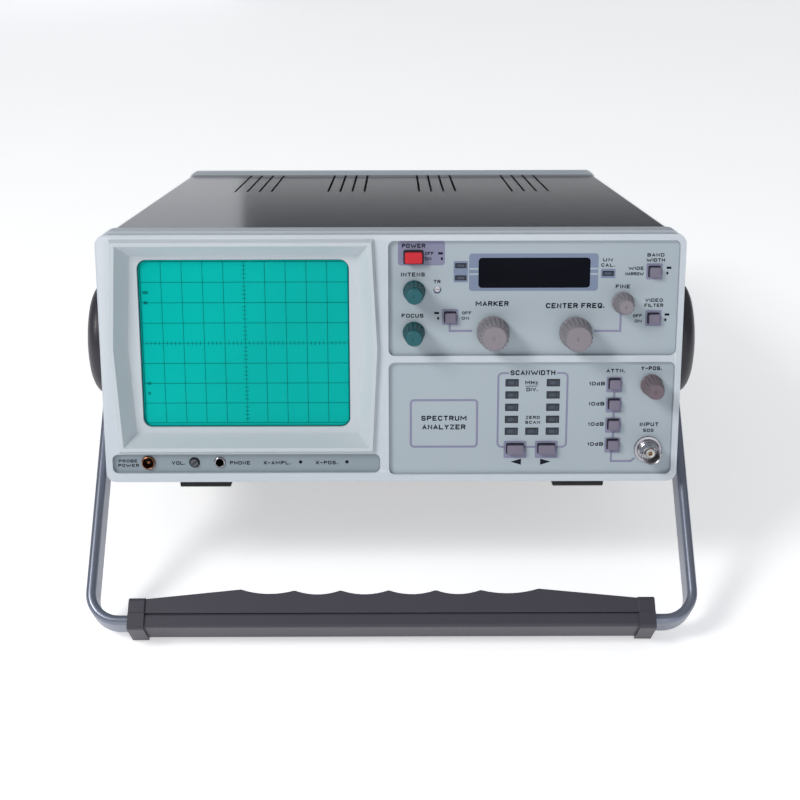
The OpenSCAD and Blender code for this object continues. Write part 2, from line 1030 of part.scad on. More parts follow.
module attenuator_button(i) {
    color([0.52, 0.50, 0.60])
        stance()
            push_button([attenuator_x, attenuator_z[i]], small_button, button_out, button_travel);
}

module attenuator_button_1() {
    attenuator_button(0);
}

module attenuator_button_2() {
    attenuator_button(1);
}

module attenuator_button_3() {
    attenuator_button(2);
}

module attenuator_button_4() {
    attenuator_button(3);
}

module span_button(i) {
    color([0.50, 0.49, 0.58])
        stance()
            push_button([span_x[i], span_z], span_button, button_out, button_travel);
}

module span_down_button() {
    span_button(0);
}

module span_up_button() {
    span_button(1);
}

// ---------- handle ----------

// Flat bar with round edges: thickness along X, width along Z of the handle's frame
module bar_section(t, w) {
    square([t, w - t], center = true);
    for (s = [-1, 1])
        translate([0, s * (w - t) / 2])
            circle(t / 2);
}

module handle_bar() {
    bend_y = -handle_reach + bend_r + bar_t;
    mid_x = arm_out - bar_t / 2;
    color(steel)
        on_handle() {
            for (s = [-1, 1]) {
                // Arm from the eye to the bend
                difference() {
                    union() {
                        translate([s * mid_x, 0, 0])
                            rotate([90, 0, 0])
                                linear_extrude(-bend_y)
                                    bar_section(bar_t, bar_w);
                        translate([s > 0 ? arm_x : -arm_out, 0, 0])
                            rotate([0, 90, 0])
                                cylinder(r = eye_r, h = bar_t);
                    }
                    translate([s > 0 ? arm_x - 1 : -arm_out - 1, 0, 0])
                        rotate([0, 90, 0])
                            cylinder(r = stud_r + running_gap, h = bar_t + 2);
                }
                // Quarter bend into the cross bar
                translate([s * (arm_x - bend_r), bend_y, 0])
                    rotate([0, 0, s > 0 ? -90 : 180])
                        rotate_extrude(angle = 90)
                            translate([bend_r + bar_t / 2, 0])
                                bar_section(bar_t, bar_w);
            }
            translate([-(arm_x - bend_r), -handle_reach + bar_t / 2, 0])
                rotate([90, 0, 90])
                    linear_extrude(2 * (arm_x - bend_r))
                        bar_section(bar_t, bar_w);
        }
}

// Round-edged section of a grip collar, as an outline in distance and width
module collar_outline() {
    x0 = collar_h;
    x1 = grip_out + collar_lip;
    n = grip_half_w + collar_lip;
    soft_box([x0, x1, -n, n], rest_r);
}

// A grip section stretched along X: distance runs out along -Y
module along_x(x0, x1) {
    translate([x1, 0, 0])
        rotate([0, -90, 0])
            rotate([0, 0, -90])
                linear_extrude(x1 - x0)
                    children();
}

module bar_channel() {
    translate([bar_in - 0.05, -bar_w / 2 - 0.1])
        square([bar_t + 0.1, bar_w + 0.2]);
}

module grip_outer() {
    color(dark_grey)
        on_handle() {
            along_x(-grip_half_len, grip_half_len)
                difference() {
                    soft_box([bar_in, grip_out, -grip_half_w, grip_half_w], 1.6);
                    bar_channel();
                }
            for (x = [-grip_half_len, grip_half_len - collar_w])
                along_x(x, x + collar_w)
                    difference() {
                        collar_outline();
                        bar_channel();
                        translate([collar_h - 1, -20])
                            square([bar_in - collar_h + 1, 40]);
                    }
        }
}

// Finger side of the grip, scalloped between the peaks
module finger_outline() {
    c = grip_half_len - collar_w;
    shoulder = collar_h + 0.4;
    crests = [for (i = [0:6])
        [scallop_peaks[i], i == 0 || i == 6 ? -end_peak_h : -mid_peak_h]];
    difference() {
        polygon(concat([[-c, -bar_in], [-c, -shoulder]], crests, [[c, -shoulder], [c, -bar_in]]));
        for (i = [0:5]) {
            a = crests[i];
            b = crests[i + 1];
            span = norm(b - a);
            half = span / 2 - crest_flat;
            r = (half * half + scallop_depth * scallop_depth) / (2 * scallop_depth);
            lift = (r - scallop_depth) / span;
            translate((a + b) / 2 + lift * [a[1] - b[1], b[0] - a[0]])
                circle(r, $fn = 64);
        }
    }
}

module grip_inner() {
    color(dark_grey)
        on_handle() {
            translate([0, 0, -grip_half_w])
                linear_extrude(2 * grip_half_w)
                    finger_outline();
            for (x = [-grip_half_len, grip_half_len - collar_w])
                along_x(x, x + collar_w)
                    difference() {
                        collar_outline();
                        translate([bar_in, -20])
                            square([20, 40]);
                    }
        }
}

// Domed cover over the pivot, notched for the arm
module hub() {
    x0 = sleeve_w / 2 + 0.6;
    dome_x = 152;
    dome_r = hub_out - dome_x;
    rim = [for (a = [0:15:90]) [
        hub_r - 11 * (1 - cos(a)),
        dome_x - x0 + dome_r * sin(a)
    ]];
    difference() {
        translate([x0, 0, 0])
            rotate([0, 90, 0])
                rotate_extrude()
                    polygon(concat([[0, 0], [hub_r, 0]], rim, [[0, hub_out - x0]]));
        translate([x0 - 1, 0, 0])
            rotate([0, 90, 0])
                cylinder(r = hub_r - hub_wall, h = arm_out - x0 + 1);
        // Notch for the arm
        block(arm_x - 0.1, arm_out, -hub_r - 1, 0, -bar_w / 2 - 0.1, bar_w / 2 + 0.1);
        // Room for the head of the stud
        translate([arm_out - 1, 0, 0])
            rotate([0, 90, 0])
                cylinder(r = head_r + 1, h = head_t + 1 + 0.8);
    }
}

module handle_hubs() {
    color(near_black)
        on_handle() {
            hub();
            mirror([1, 0, 0])
                hub();
        }
}

module pivot_studs() {
    color(steel)
        stance()
            for (s = [-1, 1])
                translate([0, pivot_at[0], pivot_at[1]])
                    rotate([0, s * 90, 0]) {
                        translate([0, 0, sleeve_in])
                            cylinder(r = stud_r, h = arm_out + 0.31 - sleeve_in);
                        translate([0, 0, sleeve_w / 2])
                            cylinder(r = collar_r, h = arm_x - collar_gap - sleeve_w / 2);
                        translate([0, 0, arm_out + 0.3])
                            cylinder(r = head_r, h = head_t);
                    }
}

module screws() {
    color(steel)
        stance() {
            for (x = [-frame_screw_x, frame_screw_x])
                for (z = frame_screw_z) {
                    rod([x, z], 1.6, rear_y + 2, case_d + tiny);
                    difference() {
                        rod([x, z], 3, case_d, case_d + 1.8);
                        block(x - 2, x + 2, case_d + 0.9, case_d + 2, z - 0.35, z + 0.35);
                        block(x - 0.35, x + 0.35, case_d + 0.9, case_d + 2, z - 2, z + 2);
                    }
                }
            for (x = pillar_x)
                for (y = pillar_y)
                    translate([x, y, board_top])
                        cylinder(r = 2.8, h = 1.6);
        }
}

front_frame();
screen_bezel();
screen_filter();
crt_tube();
crt_shield();
crt_socket();
upper_panel();
lower_panel();
connector_strip();
display_window();
display_module();
indicator_leds();
front_board();
case_sleeve();
rear_frame();
rear_panel();
chassis_tray();
mains_inlet();
fuse_drawer();
rear_feet();
power_transformer();
power_board();
main_board();
tuner_box();
filter_box();
attenuator_box();
power_switch();
potentiometers();
button_switches();
input_connector();
headphone_socket();
probe_power_socket();
intensity_knob();
focus_knob();
marker_knob();
frequency_knob();
fine_knob();
y_position_knob();
volume_spindle();
trace_trimmer();
x_gain_trimmer();
x_position_trimmer();
power_button();
marker_button();
bandwidth_button();
filter_button();
attenuator_button_1();
attenuator_button_2();
attenuator_button_3();
attenuator_button_4();
span_down_button();
span_up_button();
handle_bar();
grip_outer();
grip_inner();
handle_hubs();
pivot_studs();
base_feet();
screws();
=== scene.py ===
import json
import math

import bmesh
import bpy
from mathutils import Matrix, Vector


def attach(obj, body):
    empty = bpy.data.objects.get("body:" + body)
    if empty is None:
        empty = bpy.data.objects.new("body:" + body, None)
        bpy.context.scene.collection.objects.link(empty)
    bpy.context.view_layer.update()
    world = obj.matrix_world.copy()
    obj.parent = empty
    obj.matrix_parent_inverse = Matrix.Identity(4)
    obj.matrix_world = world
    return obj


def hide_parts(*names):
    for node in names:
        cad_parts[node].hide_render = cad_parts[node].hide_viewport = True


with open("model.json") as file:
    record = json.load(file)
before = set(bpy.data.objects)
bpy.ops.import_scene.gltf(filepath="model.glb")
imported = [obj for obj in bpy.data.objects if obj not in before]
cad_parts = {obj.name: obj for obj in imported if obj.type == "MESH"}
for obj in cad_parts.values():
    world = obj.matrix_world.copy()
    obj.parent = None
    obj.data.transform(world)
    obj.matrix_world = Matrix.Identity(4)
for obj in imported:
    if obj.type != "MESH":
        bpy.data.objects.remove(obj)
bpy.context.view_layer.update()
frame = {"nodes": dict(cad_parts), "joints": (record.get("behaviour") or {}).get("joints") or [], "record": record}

# ---------------------------------------------------------------- places, in millimetres
# The case frame: X right, Y from the front face to the back, Z up from the lower edge of the front frame.
PIVOT = (68.0, 60.0)
PANEL_Y = 2.0
# Prints stand this far proud of the panel, and start just behind its face
PRINT_T = 0.04
PRINT_BACK = PANEL_Y + 0.02
FILTER_Y = 8.0
DIVISION = 10.16
FLANGE = 0.8
FILTER_MARGIN = 4.0
MM = 0.001


def joint(name):
    return next(j for j in frame["joints"] if j["name"] == name)


def case_matrix():
    """Case millimetres to row metres, from the axis of a knob and the handle's pivot."""
    y = Vector(joint("intensity_knob_turn")["axis"]).normalized()
    x = Vector((1, 0, 0))
    z = x.cross(y)
    turn = Matrix((x, y, z)).transposed().to_4x4()
    pivot = Vector(joint("handle_swing")["pos_m"])
    origin = pivot - y * PIVOT[0] * MM - z * PIVOT[1] * MM
    return Matrix.Translation(origin) @ turn @ Matrix.Scale(MM, 4)


CASE = case_matrix()
TO_CASE = CASE.inverted()


def spot(place):
    """(x, z) in the case frame of a point of the row frame."""
    p = TO_CASE @ Vector(place)
    return (p.x, p.z)


def axis_of(node):
    """Where a turning control's axis meets the front."""
    return spot(joint(node + "_turn")["pos_m"])


def solids(node):
    """(left, right, low, high) of each separate solid of a CAD node, in the case frame."""
    bm = bmesh.new()
    bm.from_mesh(frame["nodes"][node].data)
    bmesh.ops.remove_doubles(bm, verts=bm.verts, dist=2e-6)
    left, found = set(bm.verts), []
    while left:
        group, todo = [], [left.pop()]
        while todo:
            v = todo.pop()
            group.append(TO_CASE @ v.co)
            for e in v.link_edges:
                w = e.other_vert(v)
                if w in left:
                    left.remove(w)
                    todo.append(w)
        found.append((min(p.x for p in group), max(p.x for p in group), min(p.z for p in group),
                      max(p.z for p in group)))
    bm.free()
    return sorted(found)


def middle(box):
    return ((box[0] + box[1]) / 2, (box[2] + box[3]) / 2)


def mount_at(name):
    return spot(next(m for m in frame["record"]["mounts"] if m["name"] == name)["pos_m"])


# ---------------------------------------------------------------- camera, light and floor
CAMERA_TARGET = (4.3, 0.0, 42.1)
CAMERA_DISTANCE = 716.2
CAMERA_ELEVATION = 14.05
CAMERA_YAW = 0.14
CAMERA_ROLL = 0.09
CAMERA_LENS = 65.25
SENSOR = 36.0
LIT = (0, -0.1, 0.1)
KEY_WATTS = 15.5
FILL_WATTS = 4
SKY = 0.36


def make_camera():
    data = bpy.data.cameras.new("camera")
    data.lens = CAMERA_LENS
    data.sensor_width = SENSOR
    camera = bpy.data.objects.new("camera", data)
    bpy.context.scene.collection.objects.link(camera)
    e, a = math.radians(CAMERA_ELEVATION), math.radians(CAMERA_YAW)
    forward = Vector((math.sin(a) * math.cos(e), math.cos(a) * math.cos(e), -math.sin(e)))
    place = CASE @ (Vector(CAMERA_TARGET) - forward * CAMERA_DISTANCE)
    aim = CASE.to_3x3().normalized() @ forward
    turn = aim.to_track_quat("-Z", "Y").to_matrix().to_4x4()
    roll = Matrix.Rotation(math.radians(-CAMERA_ROLL), 4, "Z")
    camera.matrix_world = Matrix.Translation(place) @ turn @ roll
    bpy.context.scene.camera = camera


def area_light(name, place, target, size, watts, colour=(1, 1, 1)):
    data = bpy.data.lights.new(name, "AREA")
    data.shape = "RECTANGLE"
    data.size, data.size_y = size
    data.energy = watts
    data.color = colour
    light = bpy.data.objects.new(name, data)
    bpy.context.scene.collection.objects.link(light)
    light.location = place
    light.rotation_euler = (Vector(target) - Vector(place)).to_track_quat("-Z", "Y").to_euler()
    return light


def make_world():
    world = bpy.data.worlds.new("studio")
    world.use_nodes = True
    bpy.context.scene.world = world
    nodes, links = world.node_tree.nodes, world.node_tree.links
    nodes.clear()
    out = nodes.new("ShaderNodeOutputWorld")
    mix = nodes.new("ShaderNodeMixShader")
    path = nodes.new("ShaderNodeLightPath")
    seen = nodes.new("ShaderNodeBackground")
    seen.inputs["Color"].default_value = (1.0, 1.0, 1.0, 1)
    seen.inputs["Strength"].default_value = 1.0
    lit = nodes.new("ShaderNodeBackground")
    lit.inputs["Strength"].default_value = SKY
    where = nodes.new("ShaderNodeTexCoord")
    split = nodes.new("ShaderNodeSeparateXYZ")
    ramp = nodes.new("ShaderNodeValToRGB")
    stops = ramp.color_ramp.elements
    stops[0].position, stops[0].color = 0.02, (0.10, 0.11, 0.13, 1)
    stops[1].position, stops[1].color = 0.50, (0.90, 0.95, 1.0, 1)
    links.new(where.outputs["Generated"], split.inputs[0])
    links.new(split.outputs["Z"], ramp.inputs["Fac"])
    links.new(ramp.outputs["Color"], lit.inputs["Color"])
    links.new(path.outputs["Is Camera Ray"], mix.inputs["Fac"])
    links.new(lit.outputs[0], mix.inputs[1])
    links.new(seen.outputs[0], mix.inputs[2])
    links.new(mix.outputs[0], out.inputs["Surface"])


make_camera()
make_world()
bpy.context.scene.view_settings.view_transform = "Standard"
area_light("key", (-1.0, -1.0, 1.25), LIT, (0.5, 0.5), KEY_WATTS, (1.0, 0.99, 0.97))
area_light("fill", (0.3, -1.8, 0.5), LIT, (1.0, 0.8), FILL_WATTS, (0.96, 0.98, 1.0))


# ---------------------------------------------------------------- materials
def linear(r, g, b):
    """0 to 255 display colour to a linear one."""
    def one(v):
        v /= 255.0
        return v / 12.92 if v <= 0.04045 else ((v + 0.055) / 1.055) ** 2.4
    return (one(r), one(g), one(b), 1.0)


def material(name, colour, rough, metal=0.0, grain=900, vary=0.06, bump=0.06, rough_vary=0.08,
             edge_wear_and_highlight=0.0, specular=0.5, glow=0.0):
    """A surface with two sizes of mottling, grain in its roughness and bump, and optional sharp edges mixed
    towards white, partly wear and partly painted highlight.
    """
    made = bpy.data.materials.new(name)
    made.use_nodes = True
    nodes, links = made.node_tree.nodes, made.node_tree.links
    shader = nodes["Principled BSDF"]
    shader.inputs["Metallic"].default_value = metal
    shader.inputs["Specular IOR Level"].default_value = specular
    shader.inputs["Emission Color"].default_value = (1, 1, 1, 1)
    shader.inputs["Emission Strength"].default_value = glow
    where = nodes.new("ShaderNodeTexCoord")
    broad = nodes.new("ShaderNodeTexNoise")
    broad.inputs["Scale"].default_value = 14
    broad.inputs["Detail"].default_value = 4
    fine = nodes.new("ShaderNodeTexNoise")
    fine.inputs["Scale"].default_value = grain
    fine.inputs["Detail"].default_value = 3
    for noise in (broad, fine):
        links.new(where.outputs["Object"], noise.inputs["Vector"])
    tone = nodes.new("ShaderNodeMapRange")
    tone.inputs["From Min"].default_value = 0.3
    tone.inputs["From Max"].default_value = 0.7
    tone.inputs["To Min"].default_value = 1 - vary
    tone.inputs["To Max"].default_value = 1 + vary
    links.new(broad.outputs["Fac"], tone.inputs["Value"])
    shade = nodes.new("ShaderNodeMix")
    shade.data_type = "RGBA"
    shade.blend_type = "MULTIPLY"
    shade.inputs["Factor"].default_value = 1.0
    shade.inputs[6].default_value = colour
    links.new(tone.outputs["Result"], shade.inputs[7])
    surface = shade.outputs[2]
    # Sharp edges lightened towards white: partly wear, partly painted highlight
    if edge_wear_and_highlight:
        edge = nodes.new("ShaderNodeNewGeometry")
        sharp = nodes.new("ShaderNodeMapRange")
        sharp.inputs["From Min"].default_value = 0.53
        sharp.inputs["From Max"].default_value = 0.62
        sharp.inputs["To Max"].default_value = edge_wear_and_highlight
        links.new(edge.outputs["Pointiness"], sharp.inputs["Value"])
        worn_and_lit_edges = nodes.new("ShaderNodeMix")
        worn_and_lit_edges.data_type = "RGBA"
        worn_and_lit_edges.inputs[7].default_value = (1, 1, 1, 1)
        links.new(sharp.outputs["Result"], worn_and_lit_edges.inputs["Factor"])
        links.new(surface, worn_and_lit_edges.inputs[6])
        surface = worn_and_lit_edges.outputs[2]
    links.new(surface, shader.inputs["Base Color"])
    gloss = nodes.new("ShaderNodeMapRange")
    gloss.inputs["From Min"].default_value = 0.25
    gloss.inputs["From Max"].default_value = 0.75
    gloss.inputs["To Min"].default_value = max(rough - rough_vary, 0.02)
    gloss.inputs["To Max"].default_value = min(rough + rough_vary, 1.0)
    links.new(fine.outputs["Fac"], gloss.inputs["Value"])
    links.new(gloss.outputs["Result"], shader.inputs["Roughness"])
    relief = nodes.new("ShaderNodeBump")
    relief.inputs["Strength"].default_value = bump
    relief.inputs["Distance"].default_value = 0.0002
    links.new(fine.outputs["Fac"], relief.inputs["Height"])
    links.new(relief.outputs["Normal"], shader.inputs["Normal"])
    return made


# The frame paint's sharp edges are lightened: partly wear, partly painted highlight
FRAME_PAINT = material("frame_paint", linear(197, 204, 212), 0.42, grain=1600, vary=0.015, bump=0.08,
                       edge_wear_and_highlight=0.2)
BEZEL = material("bezel_plastic", linear(196, 203, 209), 0.46, grain=1900, vary=0.015, bump=0.12,
                 specular=0.35)
PANEL = material("panel_enamel", linear(169, 180, 188), 0.48, grain=1500, vary=0.015, bump=0.04,
                 specular=0.35)
STRIP = material("strip_enamel", linear(138, 150, 158), 0.48, grain=1500, vary=0.015, bump=0.04)
LEGEND = material("legend_ink", linear(12, 16, 34), 0.60, grain=2500, vary=0.10, bump=0.04, specular=0.2)
VIOLET = material("violet_ink", linear(134, 134, 160), 0.60, grain=2500, vary=0.05, bump=0.04, specular=0.3)
LILAC = material("lilac_ink", linear(124, 136, 161), 0.60, grain=2500, vary=0.05, bump=0.04, specular=0.3)
# Near-black ink printed round buttons and lamps as painted shade in their gaps
GAP_SHADE_INK = material("painted_gap_shade", linear(26, 29, 42), 0.70, grain=2500, vary=0.08, bump=0.04)
SLEEVE = material("sleeve_enamel", linear(36, 37, 46), 0.16, grain=1300, vary=0.05, bump=0.02,
                  rough_vary=0.02)
# Darker copies of the button colours for the buttons' sides: painted shade
RED_SHADED_SIDE = material("red_button_painted_shade", linear(92, 16, 26), 0.45, grain=1500, vary=0.06, bump=0.06)
MAUVE_SHADED_SIDE = material("mauve_button_painted_shade", linear(44, 42, 56), 0.50, grain=1700, vary=0.06, bump=0.08)
SCREEN = material("screen_filter_teal", linear(0, 176, 167), 0.40, grain=500, vary=0.05, bump=0.02,
                  specular=0.05)
SCREEN_EDGE_SHADE = material("screen_edge_shade", linear(2, 92, 92), 0.5, grain=700, vary=0.10, bump=0.02,
                       specular=0.05)
GRID = material("grid_ink", linear(0, 84, 84), 0.5, grain=1500, vary=0.08, bump=0.02, specular=0.05)
TUBE = material("tube_glass", linear(110, 130, 130), 0.12, grain=400, vary=0.05, bump=0.02)
DISPLAY = material("display_lens", linear(8, 10, 20), 0.35, grain=600, vary=0.25, bump=0.02, specular=0.06)
DIGITS = material("digit_red", linear(90, 22, 22), 0.40, grain=900, vary=0.10, bump=0.05)
LAMP_CASE = material("lamp_body", linear(34, 42, 52), 0.42, grain=1400, vary=0.10, bump=0.08)
LAMP_LENS = material("lamp_lens", linear(60, 71, 90), 0.36, grain=1100, vary=0.18, bump=0.10)
TEAL_KNOB = material("teal_knob", linear(28, 82, 88), 0.46, grain=1700, vary=0.05, bump=0.10, specular=0.25)
TEAL_CAP = material("teal_cap", linear(34, 92, 100), 0.42, grain=1700, vary=0.05, bump=0.08, specular=0.3)
GREY_KNOB = material("grey_knob", linear(130, 126, 132), 0.46, grain=1700, vary=0.04, bump=0.10, specular=0.3)
GREY_CAP = material("grey_cap", linear(135, 128, 136), 0.44, grain=1700, vary=0.04, bump=0.08, specular=0.3)
BROWN_KNOB = material("brown_knob", linear(112, 100, 105), 0.46, grain=1700, vary=0.05, bump=0.10,
                      specular=0.35)
BROWN_CAP = material("brown_cap", linear(112, 98, 106), 0.44, grain=1700, vary=0.05, bump=0.08, specular=0.35)
RED = material("red_button", linear(204, 38, 50), 0.40, grain=1500, vary=0.04, bump=0.06, specular=0.25)
MAUVE = material("mauve_button", linear(120, 114, 132), 0.46, grain=1700, vary=0.04, bump=0.10, specular=0.35)
NICKEL = material("nickel", linear(176, 174, 180), 0.26, metal=1.0, grain=2200, vary=0.05, bump=0.06)
BRASS = material("brass", linear(214, 160, 96), 0.28, metal=1.0, grain=1800, vary=0.08, bump=0.05)
COPPER = material("copper_socket", linear(150, 104, 78), 0.34, metal=1.0, grain=1800, vary=0.08, bump=0.05)
DARK_METAL = material("dark_spindle", linear(96, 96, 102), 0.36, metal=0.8, grain=1800, vary=0.06, bump=0.06)
PTFE = material("white_dielectric", linear(232, 232, 226), 0.45, grain=1300, vary=0.03, bump=0.04)
BLACK = material("black_plastic", linear(26, 26, 29), 0.48, grain=1600, vary=0.08, bump=0.14)
HUB = material("hub_plastic", linear(52, 50, 57), 0.40, grain=1900, vary=0.05, bump=0.14, specular=0.4)
GRIP = material("grip_plastic", linear(70, 68, 77), 0.42, grain=1900, vary=0.05, bump=0.14, specular=0.25)
HANDLE_METAL = material("satin_aluminium", linear(126, 131, 146), 0.34, metal=0.7, grain=2400, vary=0.04,
                        bump=0.05)
RUBBER = material("foot_rubber", linear(30, 30, 34), 0.72, grain=1300, vary=0.10, bump=0.20)
SHEET = material("plated_sheet", linear(170, 172, 178), 0.35, metal=1.0, grain=1600, vary=0.08, bump=0.08)
BOARD = material("circuit_board", linear(28, 92, 58), 0.45, grain=700, vary=0.12, bump=0.10)
CORE = material("varnished_core", linear(96, 84, 74), 0.40, metal=0.4, grain=1100, vary=0.12, bump=0.15)
POT = material("control_blue", linear(60, 96, 146), 0.42, grain=1400, vary=0.06, bump=0.08)
FLOOR = material("studio_floor", (0.92, 0.92, 0.93, 1), 0.80, grain=60, vary=0.01, bump=0.01, specular=0.1,
                 glow=0.5)


# ---------------------------------------------------------------- mesh helpers
CORNER_STEPS = 6


def corner_ring(box, radius):
    """Points of a rectangle (left, right, bottom, top) with round corners, anticlockwise."""
    left, right, low, high = box
    radius = max(radius, 0.01)
    ring = []
    for cx, cz, start in ((right - radius, low + radius, -90), (right - radius, high - radius, 0),
                          (left + radius, high - radius, 90), (left + radius, low + radius, 180)):
        for i in range(CORNER_STEPS + 1):
            a = math.radians(start + 90 * i / CORNER_STEPS)
            ring.append((cx + radius * math.cos(a), cz + radius * math.sin(a)))
    return ring


def around(centre, size):
    return (centre[0] - size[0] / 2, centre[0] + size[0] / 2, centre[1] - size[1] / 2,
            centre[1] + size[1] / 2)


def grown(box, g):
    return (box[0] - g, box[1] + g, box[2] - g, box[3] + g)


def bridge(bm, rings):
    """Closed shape through rings of equal length; the first ring is the front one."""
    made = [[bm.verts.new(p) for p in ring] for ring in rings]
    faces = []
    for a, b in zip(made, made[1:]):
        for i in range(len(a)):
            j = (i + 1) % len(a)
            faces.append(bm.faces.new((a[i], b[i], b[j], a[j])))
    faces.append(bm.faces.new(made[0]))
    faces.append(bm.faces.new(list(reversed(made[-1]))))
    return faces


def slab(bm, box, radius, y0, y1, edge=0.0, steps=3, index=0):
    """Plate between y0 (front) and y1 with a rounded front edge."""
    rings = []
    if edge:
        for i in range(steps + 1):
            a = math.radians(90 * i / steps)
            inset = edge * (1 - math.sin(a))
            rings.append([(x, y0 + edge * (1 - math.cos(a)), z)
                          for x, z in corner_ring(grown(box, -inset), radius - inset)])
    else:
        rings.append([(x, y0, z) for x, z in corner_ring(box, radius)])
    rings.append([(x, y1, z) for x, z in corner_ring(box, radius)])
    for f in bridge(bm, rings):
        f.material_index = index


def band(bm, box, radius, width, y0, y1, index=0):
    """Flat frame of that width, inside the box."""
    outer = corner_ring(box, radius)
    inner = corner_ring(grown(box, -width), radius - width)
    loop = [[(x, y0, z) for x, z in outer], [(x, y1, z) for x, z in outer],
            [(x, y1, z) for x, z in inner], [(x, y0, z) for x, z in inner]]
    made = [[bm.verts.new(p) for p in ring] for ring in loop]
    n = len(outer)
    for a, b in zip(made, made[1:] + made[:1]):
        for i in range(n):
            j = (i + 1) % n
            bm.faces.new((a[i], b[i], b[j], a[j])).material_index = index


def lathe(bm, centre, profile, sides=64, flutes=0, depth=0.0, fluted=(), index=0, hollow=False):
    """Turned shape about Y: profile holds (radius, y), and the fluted points carry shallow grooves.
    A hollow one is a ring, whose last point joins its first."""
    rings = []
    for k, (r, y) in enumerate(profile):
        ring = []
        for i in range(sides):
            a = 2 * math.pi * i / sides
            g = depth * (0.5 - 0.5 * math.cos(flutes * a)) if k in fluted else 0.0
            ring.append((centre[0] + (r - g) * math.cos(a), y, centre[1] + (r - g) * math.sin(a)))
        rings.append(ring)
    made = [[bm.verts.new(p) for p in ring] for ring in rings]
    pairs = list(zip(made, made[1:])) + ([(made[-1], made[0])] if hollow else [])
    for a, b in pairs:
        for i in range(sides):
            j = (i + 1) % sides
            bm.faces.new((a[i], b[i], b[j], a[j])).material_index = index
    if not hollow:
        bm.faces.new(made[0]).material_index = index
        bm.faces.new(list(reversed(made[-1]))).material_index = index


def smooth(mesh, angle=35):
    """Smooth shading, with creases kept where faces meet at more than the angle."""
    bm = bmesh.new()
    bm.from_mesh(mesh)
    bmesh.ops.recalc_face_normals(bm, faces=bm.faces)
    for f in bm.faces:
        f.smooth = True
    for e in bm.edges:
        e.smooth = len(e.link_faces) == 2 and e.calc_face_angle(0) < math.radians(angle)
    bm.to_mesh(mesh)
    bm.free()


def piece(name, bm, materials, body="case", nodes=(), crease=35):
    """Turns a bmesh in case millimetres into a piece that rides on a body."""
    mesh = bpy.data.meshes.new(name)
    bm.to_mesh(mesh)
    bm.free()
    mesh.transform(CASE)
    smooth(mesh, crease)
    made = bpy.data.objects.new(name, mesh)
    bpy.context.scene.collection.objects.link(made)
    for m in materials if isinstance(materials, (list, tuple)) else [materials]:
        mesh.materials.append(m)
    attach(made, body)
    if nodes:
        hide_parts(*nodes)
    return made


def applied(made):
    """Puts a piece's modifiers into its mesh."""
    bpy.context.view_layer.update()
    graph = bpy.context.evaluated_depsgraph_get()
    mesh = bpy.data.meshes.new_from_object(made.evaluated_get(graph))
    old = made.data
    made.modifiers.clear()
    made.data = mesh
    bpy.data.meshes.remove(old)


def softened(name, node, width, surface, body="case", segments=3, angle=32, crease=40):
    """A copy of a CAD node with its edges rounded, which stands for the node."""
    mesh = frame["nodes"][node].data.copy()
    mesh.name = name
    bm = bmesh.new()
    bm.from_mesh(mesh)
    bmesh.ops.remove_doubles(bm, verts=bm.verts, dist=2e-6)
    bmesh.ops.dissolve_limit(bm, angle_limit=math.radians(0.4), verts=bm.verts, edges=bm.edges)
    for f in bm.faces:
        f.smooth = True
        f.material_index = 0
    bm.to_mesh(mesh)
    bm.free()
    mesh.materials.clear()
    mesh.materials.append(surface)
    made = bpy.data.objects.new(name, mesh)
    bpy.context.scene.collection.objects.link(made)
    if width:
        rounding = made.modifiers.new("rounding", "BEVEL")
        rounding.width = width * MM
        rounding.segments = segments
        rounding.limit_method = "ANGLE"
        rounding.angle_limit = math.radians(angle)
        rounding.use_clamp_overlap = True
        applied(made)
    smooth(made.data, crease)
    weighted = made.modifiers.new("weighted", "WEIGHTED_NORMAL")
    weighted.keep_sharp = True
    applied(made)
    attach(made, body)
    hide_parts(node)
    return made


# Strokes of each letter on a grid four wide and six high, as "xy" points
LETTERS = {
    "A": ("00 26 40", "12 32"), "B": ("03 33 44 45 36 06 00 30 41 42 33",),
    "C": ("45 36 16 05 01 10 30 41",), "D": ("00 06 36 45 41 30 00",), "E": ("46 06 00 40", "03 33"),
    "F": ("46 06 00", "03 33"), "H": ("00 06", "40 46", "03 43"), "I": ("00 06",),
    "K": ("00 06", "46 03", "13 40"), "L": ("06 00 40",), "M": ("00 06 32 66 60",),
    "N": ("00 06 40 46",), "O": ("10 01 05 16 36 45 41 30 10",), "P": ("00 06 36 45 44 33 03",),
    "Q": ("10 01 05 16 36 45 41 30 10", "22 40"), "R": ("00 06 36 45 44 33 03", "23 40"),
    "S": ("45 36 16 05 04 13 33 42 41 30 10 01",), "T": ("06 46", "26 20"), "U": ("06 01 10 30 41 46",),
    "V": ("06 20 46",), "W": ("06 20 44 60 86",), "X": ("00 46", "06 40"), "Y": ("06 23 46", "23 20"),
    "Z": ("06 46 00 40",), "Ω": ("00 10 11 03 04 16 36 44 43 31 30 40",), "z": ("04 34 00 30",),
    "d": ("36 30 10 01 03 14 34",), "0": ("10 01 05 16 36 45 41 30 10",), "1": ("04 16 10",),
    "5": ("46 06 03 33 42 41 30 00",), "9": ("44 13 04 05 16 36 45 41 30 00",), "-": ("03 33",),
    ".": ("00 01",),
}
# Gaps on the same grid, and the stroke as a share of the height
LETTER_GAP = 2.6
SPACE = 3.0
LETTER_WEIGHT = 0.24


